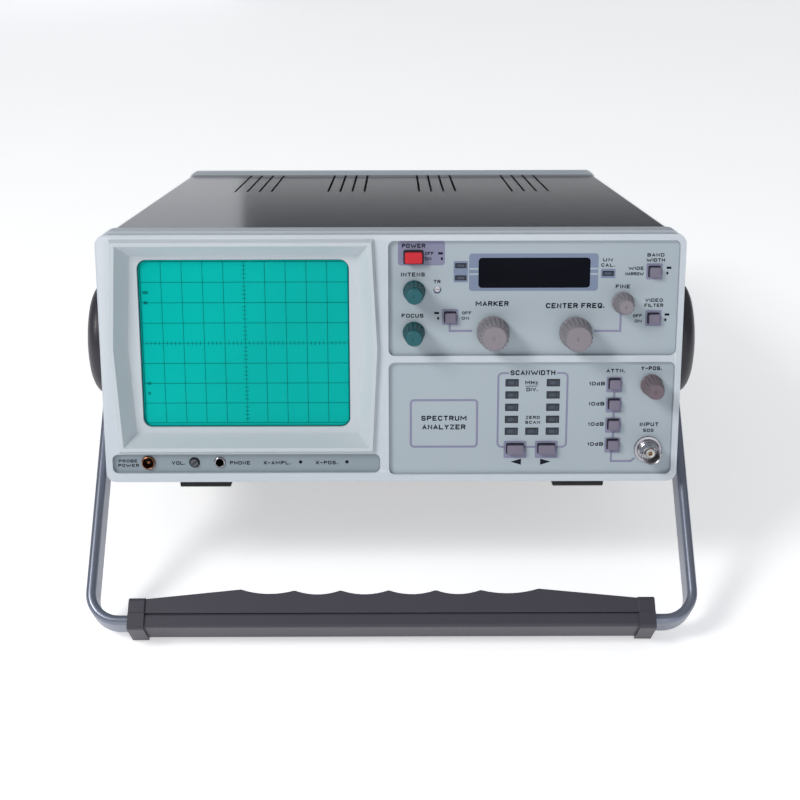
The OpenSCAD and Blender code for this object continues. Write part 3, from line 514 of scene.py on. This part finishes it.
def sweep(bm, points, width, y0, y1, index=0):
    """Flat bar of that width along points (x, z), mitred at its turns."""
    closed = points[0] == points[-1] and len(points) > 2
    path = [Vector(p) for p in (points[:-1] if closed else points)]
    rings = []
    for i, p in enumerate(path):
        before = (p - path[i - 1]).normalized() if closed or i else None
        after = (path[(i + 1) % len(path)] - p).normalized() if closed or i < len(path) - 1 else None
        along = ((before or after) + (after or before)).normalized()
        side = Vector((-along.y, along.x))
        spread = width / 2 / max(abs(along.dot(after or before)), 0.6)
        if before is None:
            p = p - after * width * 0.3
        if after is None:
            p = p + before * width * 0.3
        a, b = p + side * spread, p - side * spread
        rings.append([bm.verts.new(v) for v in ((a.x, y0, a.y), (b.x, y0, b.y), (b.x, y1, b.y),
                                                (a.x, y1, a.y))])
    pairs = list(zip(rings, rings[1:])) + ([(rings[-1], rings[0])] if closed else [])
    faces = [bm.faces.new((a[k], b[k], b[(k + 1) % 4], a[(k + 1) % 4])) for a, b in pairs for k in range(4)]
    if not closed:
        faces += [bm.faces.new(rings[0]), bm.faces.new(list(reversed(rings[-1])))]
    for f in faces:
        f.material_index = index


def add_words(bm, text, centre, width, height, y=PANEL_Y):
    """Lettering of that width and height round a centre."""
    placed, pen = [], 0.0
    for letter in text:
        if letter == " ":
            pen += SPACE
            continue
        strokes = [[(int(p[0]), int(p[1])) for p in stroke.split()] for stroke in LETTERS[letter]]
        placed += [[(pen + x, z) for x, z in stroke] for stroke in strokes]
        pen += max(x for stroke in strokes for x, z in stroke) + LETTER_GAP
    pen -= LETTER_GAP
    thick = height * LETTER_WEIGHT
    sx, sz = (width - thick) / pen, (height - thick) / 6
    left, low = centre[0] - (width - thick) / 2, centre[1] - (height - thick) / 2
    for stroke in placed:
        sweep(bm, [(left + x * sx, low + z * sz) for x, z in stroke], thick, y - PRINT_T, y - PRINT_T * 0.2)


# ---------------------------------------------------------------- the front
def ink_slab(bm, box, radius=0.3, index=0, lift=0.0):
    slab(bm, box, radius, PANEL_Y - PRINT_T * (0.5 + lift), PRINT_BACK, index=index)


def ink_line(bm, points, width):
    """Printed line through points (x, z)."""
    sweep(bm, points, width, PANEL_Y - PRINT_T * 0.5, PRINT_BACK, 1)


KNOBS = ("intensity_knob", "focus_knob", "marker_knob", "frequency_knob", "fine_knob", "y_position_knob",
         "volume_spindle", "trace_trimmer", "x_gain_trimmer", "x_position_trimmer")
ATTENUATORS = [f"attenuator_button_{i}" for i in (1, 2, 3, 4)]
SMALL_BUTTONS = ["marker_button", "bandwidth_button", "filter_button"] + ATTENUATORS
SPAN_BUTTONS = ["span_down_button", "span_up_button"]
BUTTON_BOX = {n: grown(solids(n)[0], -FLANGE) for n in SMALL_BUTTONS + SPAN_BUTTONS + ["power_button"]}
AT = {n: axis_of(n) for n in KNOBS}
AT.update({n: middle(b) for n, b in BUTTON_BOX.items()})
AT["input"], AT["phone"] = mount_at("rf_input"), mount_at("headphone_jack")
AT["probe"] = middle(solids("probe_power_socket")[0])
DISPLAY_BOX = solids("display_window")[0]
AT["display"] = middle(DISPLAY_BOX)
# Lamps wider than this are the large ones
LAMP_SPLIT = 5.6
LAMPS = [b for b in solids("indicator_leds") if b[1] - b[0] > LAMP_SPLIT]
SMALL_LAMPS = [b for b in solids("indicator_leds") if b[1] - b[0] <= LAMP_SPLIT]
AT["middle_lamp"] = min((middle(b) for b in LAMPS),
                        key=lambda p: abs(p[0] - (LAMPS[0][0] + LAMPS[-1][1]) / 2))
AT["gate_lamp"] = middle(SMALL_LAMPS[-1])
AT["side_lamps"] = tuple(sum(middle(b)[k] for b in SMALL_LAMPS[:2]) / 2 for k in (0, 1))
FILTER_BOX = solids("screen_filter")[0]
SCREEN_BOX = grown(FILTER_BOX, -FILTER_MARGIN)
GRID_SHIFT = (0.2, 0.3)


def by(name, dx=0.0, dz=0.0):
    """A place beside a control."""
    return (AT[name][0] + dx, AT[name][1] + dz)


def push_marks(bm, name, dx, dz, side):
    """The two little signs beside a latching button: out and in."""
    x, z = by(name, dx, dz)
    ink_slab(bm, around((x, z + 1.3), (2.3, 1.1)), 0.1, 0, lift=0.5)
    ink_slab(bm, around((x - side * 0.7, z - 1.3), (1.0, 1.4)), 0.4, 0, lift=0.5)


def surround(bm, name, dz, extra=(2.5, 3.0)):
    """Printed block round a button, and painted shade for the gap above it and to its left."""
    left, right, low, high = BUTTON_BOX[name]
    w, h = right - left, high - low
    ink_slab(bm, around(by(name, -0.1, dz), (w + extra[0], h + extra[1])), 0.6, 1)
    # Painted shade in the gap, set a little up and to the left
    ink_slab(bm, around(by(name, -0.1, 0.1), (w + 0.6, h + 0.7)), 0.5, 2, lift=0.5)


def letter_all(bm, rows):
    for text, name, dx, dz, width, height in rows:
        add_words(bm, text, by(name, dx, dz), width, height)


def upper_prints():
    bm = bmesh.new()
    # Block round the power button
    x, z = AT["power_button"]
    ink_slab(bm, (x - 7.6, x + 15.2, z - 4.1, z + 7.9), 1.6, 1)
    # Painted shade in the power button's gap
    ink_slab(bm, grown(BUTTON_BOX["power_button"], 0.7), 0.8, 2, lift=0.5)
    # Surround of the display with two bars at each end
    ink_slab(bm, (DISPLAY_BOX[0] - 4.5, DISPLAY_BOX[1] + 3.8, DISPLAY_BOX[2] - 1.4, DISPLAY_BOX[3] + 2.0),
             1.6, 3)
    for at_x in (DISPLAY_BOX[0] - 2.1, DISPLAY_BOX[1] + 1.6):
        for dz in (2.0, -0.6):
            ink_slab(bm, around((at_x, AT["display"][1] + dz), (4.2, 0.8)), 0.1, 4, lift=0.4)
    # Lamps beside the display
    ink_slab(bm, around(AT["side_lamps"], (7.0, 10.4)), 0.6, 3)
    ink_slab(bm, around(AT["gate_lamp"], (7.1, 4.6)), 0.6, 3)
    # Painted shade in the small lamps' gaps
    for b in SMALL_LAMPS:
        ink_slab(bm, grown(b, 0.3), 0.2, 2, lift=0.5)
    for name in ("marker_button", "bandwidth_button", "filter_button"):
        surround(bm, name, 0.15)
    ink_line(bm, [by("marker_button", -0.3, -3.4), by("marker_button", -0.3, -6.8),
                  by("marker_button", 10.4, -6.8)], 1.1)
    ink_line(bm, [by("frequency_knob", 9.2, 0.8), by("frequency_knob", 21.9, 0.8),
                  by("frequency_knob", 21.9, 9.4)], 1.1)
    letter_all(bm, (
        ("POWER", "power_button", 0.0, 5.5, 11.4, 2.1), ("OFF", "power_button", 7.6, 1.8, 4.4, 1.6),
        ("ON", "power_button", 7.0, -0.8, 3.2, 1.6), ("INTENS", "intensity_knob", -0.6, 8.1, 11.6, 2.0),
        ("FOCUS", "focus_knob", -0.6, 8.2, 10.7, 2.0), ("TR", "trace_trimmer", -0.2, 4.1, 3.4, 1.7),
        ("MARKER", "marker_knob", -0.6, 14.1, 16.2, 2.5),
        ("CENTER FREQ.", "frequency_knob", -0.5, 13.4, 28.5, 2.6),
        ("FINE", "fine_knob", -0.2, 7.9, 7.1, 1.9),
        ("UN", "gate_lamp", -0.4, 6.7, 4.6, 1.7),
        ("CAL.", "gate_lamp", -0.2, 4.1, 6.6, 1.7), ("BAND", "bandwidth_button", 0.3, 8.2, 8.2, 1.7),
        ("WIDTH", "bandwidth_button", 0.3, 5.7, 9.0, 1.7), ("VIDEO", "filter_button", -0.1, 9.0, 8.6, 1.7),
        ("FILTER", "filter_button", -0.1, 6.5, 9.2, 1.7), ("WIDE", "bandwidth_button", -9.0, 1.7, 7.4, 1.6),
        ("NARROW", "bandwidth_button", -9.7, -1.0, 9.0, 1.6), ("OFF", "marker_button", 8.0, 2.1, 4.6, 1.5),
        ("ON", "marker_button", 7.3, -0.5, 3.6, 1.5), ("OFF", "filter_button", -7.9, 1.3, 4.4, 1.5),
        ("ON", "filter_button", -7.5, -1.3, 3.4, 1.5)))
    push_marks(bm, "power_button", 13.0, 0.5, -1)
    push_marks(bm, "marker_button", -6.7, 0.8, -1)
    push_marks(bm, "bandwidth_button", 6.9, 0.6, 1)
    push_marks(bm, "filter_button", 6.5, 0.6, 1)
    return piece("upper_legends", bm, [LEGEND, VIOLET, GAP_SHADE_INK, LILAC, PANEL], crease=20)


def lower_prints():
    bm = bmesh.new()
    columns = sorted({round(middle(b)[0], 1) for b in LAMPS})
    top = max(middle(b)[1] for b in LAMPS)
    # Outlined plate with the kind of instrument
    plate = (columns[0] - 50.6, columns[0] - 16.6, AT["span_up_button"][1] + 0.6,
             AT["span_up_button"][1] + 25.6)
    band(bm, plate, 2.2, 1.1, PANEL_Y - PRINT_T, PRINT_BACK, index=1)
    # Frame round the span lamps
    band(bm, (columns[0] - 7.3, columns[-1] + 7.5, AT["span_up_button"][1] + 0.4, top + 5.4), 2.6, 1.0,
         PANEL_Y - PRINT_T * 0.5, PRINT_BACK, index=1)
    ink_slab(bm, around(by("middle_lamp", 0.1, 29.8), (23.5, 2.4)), 0.1, 3, lift=0.3)
    for name in SPAN_BUTTONS:
        surround(bm, name, -0.4, extra=(3.0, 4.0))
    for name in ATTENUATORS:
        surround(bm, name, -0.45)
        add_words(bm, "10dB", by(name, -8.7, 0.1), 7.8, 1.9)
    for above, below in zip(ATTENUATORS, ATTENUATORS[1:]):
        ink_line(bm, [by(above, 0, -4.4), by(below, 0, 3.6)], 1.1)
    ink_line(bm, [by(ATTENUATORS[-1], -0.6, -3.4), by(ATTENUATORS[-1], -0.6, -8.8), by("input", -8.4, -6.2),
                  by("input", -6.6, -4.8)], 1.1)
    # Painted shade in the large lamps' gaps
    for b in LAMPS:
        ink_slab(bm, grown(b, 0.2), 0.2, 2, lift=0.5)
    ink_slab(bm, around(by("middle_lamp", -0.6, 23.1), (6.0, 0.3)), 0.05, 0, lift=0.5)
    centre = ((plate[0] + plate[1]) / 2, (plate[2] + plate[3]) / 2)
    add_words(bm, "SPECTRUM", (centre[0], centre[1] + 2.7), 22.6, 2.6)
    add_words(bm, "ANALYZER", (centre[0], centre[1] - 1.8), 21.6, 2.6)
    letter_all(bm, (
        ("SCANWIDTH", "middle_lamp", 0.0, 29.9, 22.2, 2.5), ("MHz", "middle_lamp", -0.5, 24.9, 6.4, 2.0),
        ("DIV.", "middle_lamp", -0.3, 21.4, 5.6, 1.9), ("ZERO", "middle_lamp", 0.3, 7.1, 7.0, 1.6),
        ("SCAN", "middle_lamp", 0.3, 4.6, 7.4, 1.6), ("ATTN.", "attenuator_button_1", 0.3, 6.6, 9.2, 1.9),
        ("Y-POS.", "y_position_knob", -0.2, 8.3, 10.2, 2.0), ("INPUT", "input", 0.3, 12.8, 9.4, 2.0),
        ("50Ω", "input", 0.0, 9.7, 5.2, 1.7)))
    # Arrows under the two span buttons
    for name, side in zip(SPAN_BUTTONS, (-1, 1)):
        x, z = by(name, -side * 0.4, -6.8)
        ring = [(x + side * 2.6, z), (x - side * 2.6, z + 1.6), (x - side * 2.6, z - 1.6)]
        if side < 0:
            ring.reverse()
        bridge(bm, [[(px, PANEL_Y - PRINT_T, pz) for px, pz in ring],
                    [(px, PRINT_BACK, pz) for px, pz in ring]])
    return piece("lower_legends", bm, [LEGEND, VIOLET, GAP_SHADE_INK, PANEL], crease=20)


def strip_prints():
    bm = bmesh.new()
    letter_all(bm, (
        ("PROBE", "probe", -10.2, 0.8, 9.4, 1.6),
        ("POWER", "probe", -10.0, -1.5, 10.4, 1.6),
        ("VOL.", "volume_spindle", -8.0, -0.3, 6.8, 1.9),
        ("PHONE", "phone", 10.1, -0.3, 10.2, 1.9),
        ("X-AMPL.", "x_gain_trimmer", -11.8, -0.3, 13.6, 1.9),
        ("X-POS.", "x_position_trimmer", -10.2, -0.3, 11.0, 1.9)))
    return piece("strip_legends", bm, [LEGEND], crease=20)


def graticule():
    """Ten by eight divisions, with five marks to a division along both middle lines."""
    bm = bmesh.new()
    cx, cz = (middle(SCREEN_BOX)[k] + GRID_SHIFT[k] for k in (0, 1))
    y0, y1 = FILTER_Y - 0.06, FILTER_Y + 0.02
    half_x, half_z = 5 * DIVISION, 4 * DIVISION
    thin = 0.11

    def stroke(x0, x1, z0, z1):
        slab(bm, (x0, x1, z0, z1), 0.03, y0, y1)

    for i in range(-5, 6):
        if i:
            x = cx + i * DIVISION
            stroke(x - thin, x + thin, cz - half_z, cz + half_z)
    for i in range(-4, 5):
        if i:
            z = cz + i * DIVISION
            stroke(cx - half_x, cx + half_x, z - thin, z + thin)
    step = DIVISION / 5
    for i in range(-25, 26):
        x = cx + i * step
        stroke(x - thin, x + thin, cz - 1.0, cz + 1.0)
    for i in range(-20, 21):
        z = cz + i * step
        stroke(cx - 1.0, cx + 1.0, z - thin, z + thin)
    stroke(cx - half_x, cx + half_x, cz - 0.08, cz + 0.08)
    stroke(cx - 0.08, cx + 0.08, cz - half_z, cz + half_z)
    for text, level in (("100", 2.5), ("90", 2.0), ("10", -2.0), ("0", -2.5)):
        add_words(bm, text, (cx - half_x + 2.2, cz + level * DIVISION), 0.8 * len(text) + 0.4, 1.5,
                  y=FILTER_Y)
    # Dark ring round the screen's edge: painted shade
    band(bm, grown(SCREEN_BOX, 0.4), 5.2, 0.9, y0, y1, index=1)
    return piece("graticule", bm, [GRID, SCREEN_EDGE_SHADE], crease=20)


def screen():
    bm = bmesh.new()
    slab(bm, grown(FILTER_BOX, -0.1), 3, FILTER_Y, FILTER_Y + 1.9, edge=0.3)
    return piece("screen_plate", bm, [SCREEN], nodes=["screen_filter"])


def display():
    bm = bmesh.new()
    slab(bm, grown(DISPLAY_BOX, -0.05), 1.8, PANEL_Y - 0.2, PANEL_Y + 1.9, edge=0.35)
    return piece("display_lens", bm, [DISPLAY], nodes=["display_window"])


def lamps():
    bm = bmesh.new()
    for b in LAMPS:
        x, z = middle(b)
        slab(bm, grown(b, -0.05), 0.3, PANEL_Y - 0.3, PANEL_Y + 4, edge=0.15, index=0)
        slab(bm, around((x - 0.3, z), (3.0, 1.7)), 0.4, PANEL_Y - 0.38, PANEL_Y, edge=0.08, index=1)
        slab(bm, around((x + 2.2, z), (0.5, 2.0)), 0.1, PANEL_Y - 0.36, PANEL_Y, index=1)
        for s in (-1, 1):
            slab(bm, around((x - 0.3 + s * 0.75, z), (0.16, 1.7)), 0.05, PANEL_Y - 0.4, PANEL_Y, index=0)
    for b in SMALL_LAMPS:
        slab(bm, grown(b, -0.05), 0.25, PANEL_Y - 0.28, PANEL_Y + 4, edge=0.12, index=0)
        slab(bm, around(middle(b), (3.2, 1.0)), 0.25, PANEL_Y - 0.3, PANEL_Y, edge=0.05, index=1)
    return piece("lamp_windows", bm, [LAMP_CASE, LAMP_LENS], nodes=["indicator_leds"])


# ---------------------------------------------------------------- knobs, buttons and sockets
def knob(node, radius, length, cap, side_material, cap_material, slot, flutes):
    """Collet knob: skirt, fluted taper and a dimpled cap."""
    bm = bmesh.new()
    foot = 1.2
    tip = -length
    cap_y = tip + 2.0
    profile = [(radius - 0.3, foot), (radius - 0.05, foot - 0.3), (radius - 0.05, foot - 1.0),
               (radius - 0.3, foot - 1.5), (radius - 0.4, foot - 2.2), (radius - 0.9, cap_y + 2.6),
               (radius - 1.1, cap_y + 1.0), (cap + 0.35, cap_y + 0.35), (cap + 0.1, cap_y + 0.1),
               (cap, cap_y - 0.05), (cap - 0.05, tip + 0.55), (cap - 0.2, tip + 0.2),
               (cap - 0.5, tip + 0.02), (1.0, tip + 0.02), (0.8, tip + 0.2), (0.3, tip + 0.35)]
    lathe(bm, AT[node], profile, sides=flutes * 8, flutes=flutes, depth=0.6, fluted=(3, 4, 5, 6))
    for face in bm.faces:
        face.material_index = 1 if face.calc_center_median().y < cap_y else 0
    return piece(node + "_shell", bm, [side_material, cap_material], body=node, nodes=[node],
                 crease=28)


def button(node, out, surface, shaded_side_surface, corner=0.8):
    bm = bmesh.new()
    slab(bm, grown(BUTTON_BOX[node], -0.04), corner, PANEL_Y - out, 6.4, edge=0.4, steps=4)
    # The sides take the darker copy, as painted shade
    for face in bm.faces:
        face.material_index = 1 if face.calc_center_median().y > PANEL_Y - out + 0.45 else 0
    return piece(node + "_cap", bm, [surface, shaded_side_surface], body=node, nodes=[node])


def input_connector():
    """Bayonet socket: flange, nut, shell with a rolled mouth, lugs, dielectric and contact."""
    bm = bmesh.new()
    r = 4.8
    tip = PANEL_Y - 12
    lathe(bm, AT["input"],
          [(5.2, 2.0), (6.9, 2.0), (6.9, 1.1), (6.6, 0.7), (5.6, 0.6), (5.4, 0.3), (5.3, -1.6),
           (r, -1.9), (r, -3.0), (4.55, -3.2), (4.55, -3.8), (r, -4.0), (r, tip + 0.6),
           (r - 0.12, tip + 0.15), (r - 0.4, tip), (4.1, tip + 0.2), (4.05, tip + 0.7),
           (4.05, -1.0), (2.6, -0.9), (2.5, 0.2)],
          sides=72)
    for s in (-1, 1):
        ring0, ring1 = [], []
        for i in range(16):
            a = 2 * math.pi * i / 16
            ring0.append((AT["input"][0] + s * 4.5, PANEL_Y - 9.4 + math.cos(a),
                          AT["input"][1] + math.sin(a)))
            ring1.append((AT["input"][0] + s * 5.5, PANEL_Y - 9.4 + 0.9 * math.cos(a),
                          AT["input"][1] + 0.9 * math.sin(a)))
        bridge(bm, [ring0, ring1])
    start = len(bm.faces)
    lathe(bm, AT["input"], [(2.4, 0.0), (2.4, -5.9), (2.2, -6.4), (1.1, -6.45), (1.05, -5.0)], sides=40)
    bm.faces.ensure_lookup_table()
    for f in bm.faces[start:]:
        f.material_index = 1
    start = len(bm.faces)
    lathe(bm, AT["input"], [(0.95, -1.0), (0.95, -6.0), (0.8, -6.4), (0.6, -6.3), (0.5, -4.5)], sides=24)
    bm.faces.ensure_lookup_table()
    for f in bm.faces[start:]:
        f.material_index = 2
    return piece("input_socket", bm, [NICKEL, PTFE, BRASS], nodes=["input_connector"],
                 crease=30)


def probe_socket():
    bm = bmesh.new()
    lathe(bm, AT["probe"], [(3.35, 8.0), (3.35, 1.0), (3.2, 0.6), (2.95, 0.45), (2.75, 0.6), (2.6, 1.0),
                            (2.5, 8.0)],
          sides=48, hollow=True)
    lathe(bm, AT["probe"], [(0.9, 8.0), (0.9, 2.6), (0.6, 2.1), (0.2, 2.0)], sides=24)
    lathe(bm, AT["probe"], [(2.48, 8.2), (2.48, 7.0), (0.95, 6.9)], sides=40, index=1)
    return piece("probe_socket_turned", bm, [COPPER, BLACK], nodes=["probe_power_socket"],
                 crease=30)


def phone_socket():
    bm = bmesh.new()
    lathe(bm, AT["phone"], [(2.7, 12.0), (2.7, 2.0), (1.95, 1.9), (1.9, 12.0)], sides=48, hollow=True)
    lathe(bm, AT["phone"], [(1.88, 15.0), (1.88, 11.0), (0.1, 10.9)], sides=32)
    piece("phone_socket_body", bm, [BLACK], nodes=["headphone_socket"], crease=30)
    collar = bmesh.new()
    lathe(collar, AT["phone"], [(2.78, 1.98), (2.78, 1.5), (2.65, 1.15), (2.4, 1.02), (2.1, 1.15),
                                (1.96, 1.5), (1.96, 1.98)],
          sides=48, hollow=True)
    piece("phone_socket_collar", collar, [NICKEL], crease=30)


SLOT_TURN = math.radians(40)
INLET_AT = middle(solids("mains_inlet")[0])


def volume_spindle():
    bm = bmesh.new()
    x, z = AT["volume_spindle"]
    lathe(bm, (x, z), [(2.3, 6.0), (2.3, 2.2), (2.15, 1.0), (2.0, 0.7), (1.8, 0.5), (0.4, 0.5)], sides=40,
          flutes=20,
          depth=0.12, fluted=(1, 2, 3))
    dx, dz = 1.7 * math.cos(SLOT_TURN), 1.7 * math.sin(SLOT_TURN)
    sweep(bm, [(x - dx, z - dz), (x + dx, z + dz)], 0.7, 0.47, 0.6, 1)
    return piece("volume_spindle_turned", bm, [DARK_METAL, BLACK], body="volume_spindle",
                 nodes=["volume_spindle"], crease=30)


def inlet_blades():
    bm = bmesh.new()
    for x in (-7.0, 7.0):
        slab(bm, around((INLET_AT[0] + x, INLET_AT[1] + 5.2), (2.05, 4.05)), 0.3, 320.0, 333.02)
    slab(bm, around((INLET_AT[0], INLET_AT[1] + 9.2), (2.05, 4.05)), 0.3, 320.0, 335.02)
    return piece("inlet_blades", bm, [NICKEL], crease=30)


# Radius and length of the three sizes of knob
SMALL, LARGE, FINE = (5.5, 14.3), (8.1, 14.5), (5.4, 11.6)

softened("front_frame_cast", "front_frame", 0.6, FRAME_PAINT)
softened("bezel_moulding", "screen_bezel", 0.5, BEZEL, angle=20)
softened("upper_panel_plate", "upper_panel", 0.08, PANEL, segments=1)
softened("lower_panel_plate", "lower_panel", 0.08, PANEL, segments=1)
softened("strip_plate", "connector_strip", 0.08, STRIP, segments=1)
screen()
graticule()
display()
lamps()
upper_prints()
lower_prints()
strip_prints()
knob("intensity_knob", *SMALL, 3.9, TEAL_KNOB, TEAL_CAP, "knob_teal", 14)
knob("focus_knob", *SMALL, 3.9, TEAL_KNOB, TEAL_CAP, "knob_teal", 14)
knob("marker_knob", *LARGE, 5.9, GREY_KNOB, GREY_CAP, "knob_grey", 20)
knob("frequency_knob", *LARGE, 6.1, GREY_KNOB, GREY_CAP, "knob_grey", 20)
knob("fine_knob", *FINE, 3.5, GREY_KNOB, GREY_CAP, "knob_grey", 14)
knob("y_position_knob", *SMALL, 3.9, BROWN_KNOB, BROWN_CAP, "knob_brown", 14)
button("power_button", 4.0, RED, RED_SHADED_SIDE, 1.0)
for node in SMALL_BUTTONS + SPAN_BUTTONS:
    button(node, 3.0, MAUVE, MAUVE_SHADED_SIDE)
input_connector()
probe_socket()
phone_socket()
volume_spindle()
softened("sleeve_sheet", "case_sleeve", 0.0, SLEEVE, crease=14)
softened("rear_frame_cast", "rear_frame", 0.5, FRAME_PAINT)
softened("rear_panel_sheet", "rear_panel", 0.25, FRAME_PAINT)
softened("inlet_body", "mains_inlet", 0.3, BLACK)
inlet_blades()
softened("fuse_tray", "fuse_drawer", 0.2, BLACK, body="fuse_drawer")
softened("cord_posts", "rear_feet", 0.6, BLACK)
softened("rubber_feet", "base_feet", 0.5, RUBBER)
softened("bar_bent", "handle_bar", 0.0, HANDLE_METAL, body="handle")
softened("grip_outer_shell", "grip_outer", 0.5, GRIP, body="handle")
softened("grip_inner_shell", "grip_inner", 0.5, GRIP, body="handle")
softened("hub_covers", "handle_hubs", 0.5, HUB, body="handle")
softened("post_screws", "screws", 0.15, NICKEL)

# CAD nodes that stay, with their own materials
INNER = {
    "crt_tube": TUBE, "crt_shield": SHEET, "crt_socket": BLACK, "display_module": DIGITS,
    "front_board": BOARD,
    "chassis_tray": SHEET, "power_transformer": CORE, "power_board": BOARD, "main_board": BOARD,
    "tuner_box": SHEET,
    "filter_box": SHEET, "attenuator_box": SHEET, "power_switch": BLACK, "potentiometers": POT,
    "button_switches": BLACK, "trace_trimmer": NICKEL, "x_gain_trimmer": BLACK, "x_position_trimmer": BLACK,
    "pivot_studs": NICKEL,
}
for node, surface in INNER.items():
    mesh = frame["nodes"][node].data
    mesh.materials.clear()
    mesh.materials.append(surface)


# ---------------------------------------------------------------- floor and reflected card
def stage_plane(name, corners, surface):
    bm = bmesh.new()
    bm.faces.new([bm.verts.new(c) for c in corners])
    mesh = bpy.data.meshes.new(name)
    bm.to_mesh(mesh)
    bm.free()
    mesh.materials.append(surface)
    made = bpy.data.objects.new(name, mesh)
    bpy.context.scene.collection.objects.link(made)
    return made


FLOOR_BACK = 1.75
stage_plane("floor", [(-3, -3, 0), (3, -3, 0), (3, FLOOR_BACK, 0), (-3, FLOOR_BACK, 0)], FLOOR)
CARD = material("pale_card", linear(190, 192, 200), 0.8, grain=40, vary=0.02, bump=0.01, glow=0.2)
card = stage_plane("card", [(-2.4, FLOOR_BACK, -0.3), (-0.27, FLOOR_BACK, -0.3), (-0.27, FLOOR_BACK, 0.4),
                            (-2.4, FLOOR_BACK, 0.4)], CARD)
card.visible_camera = False
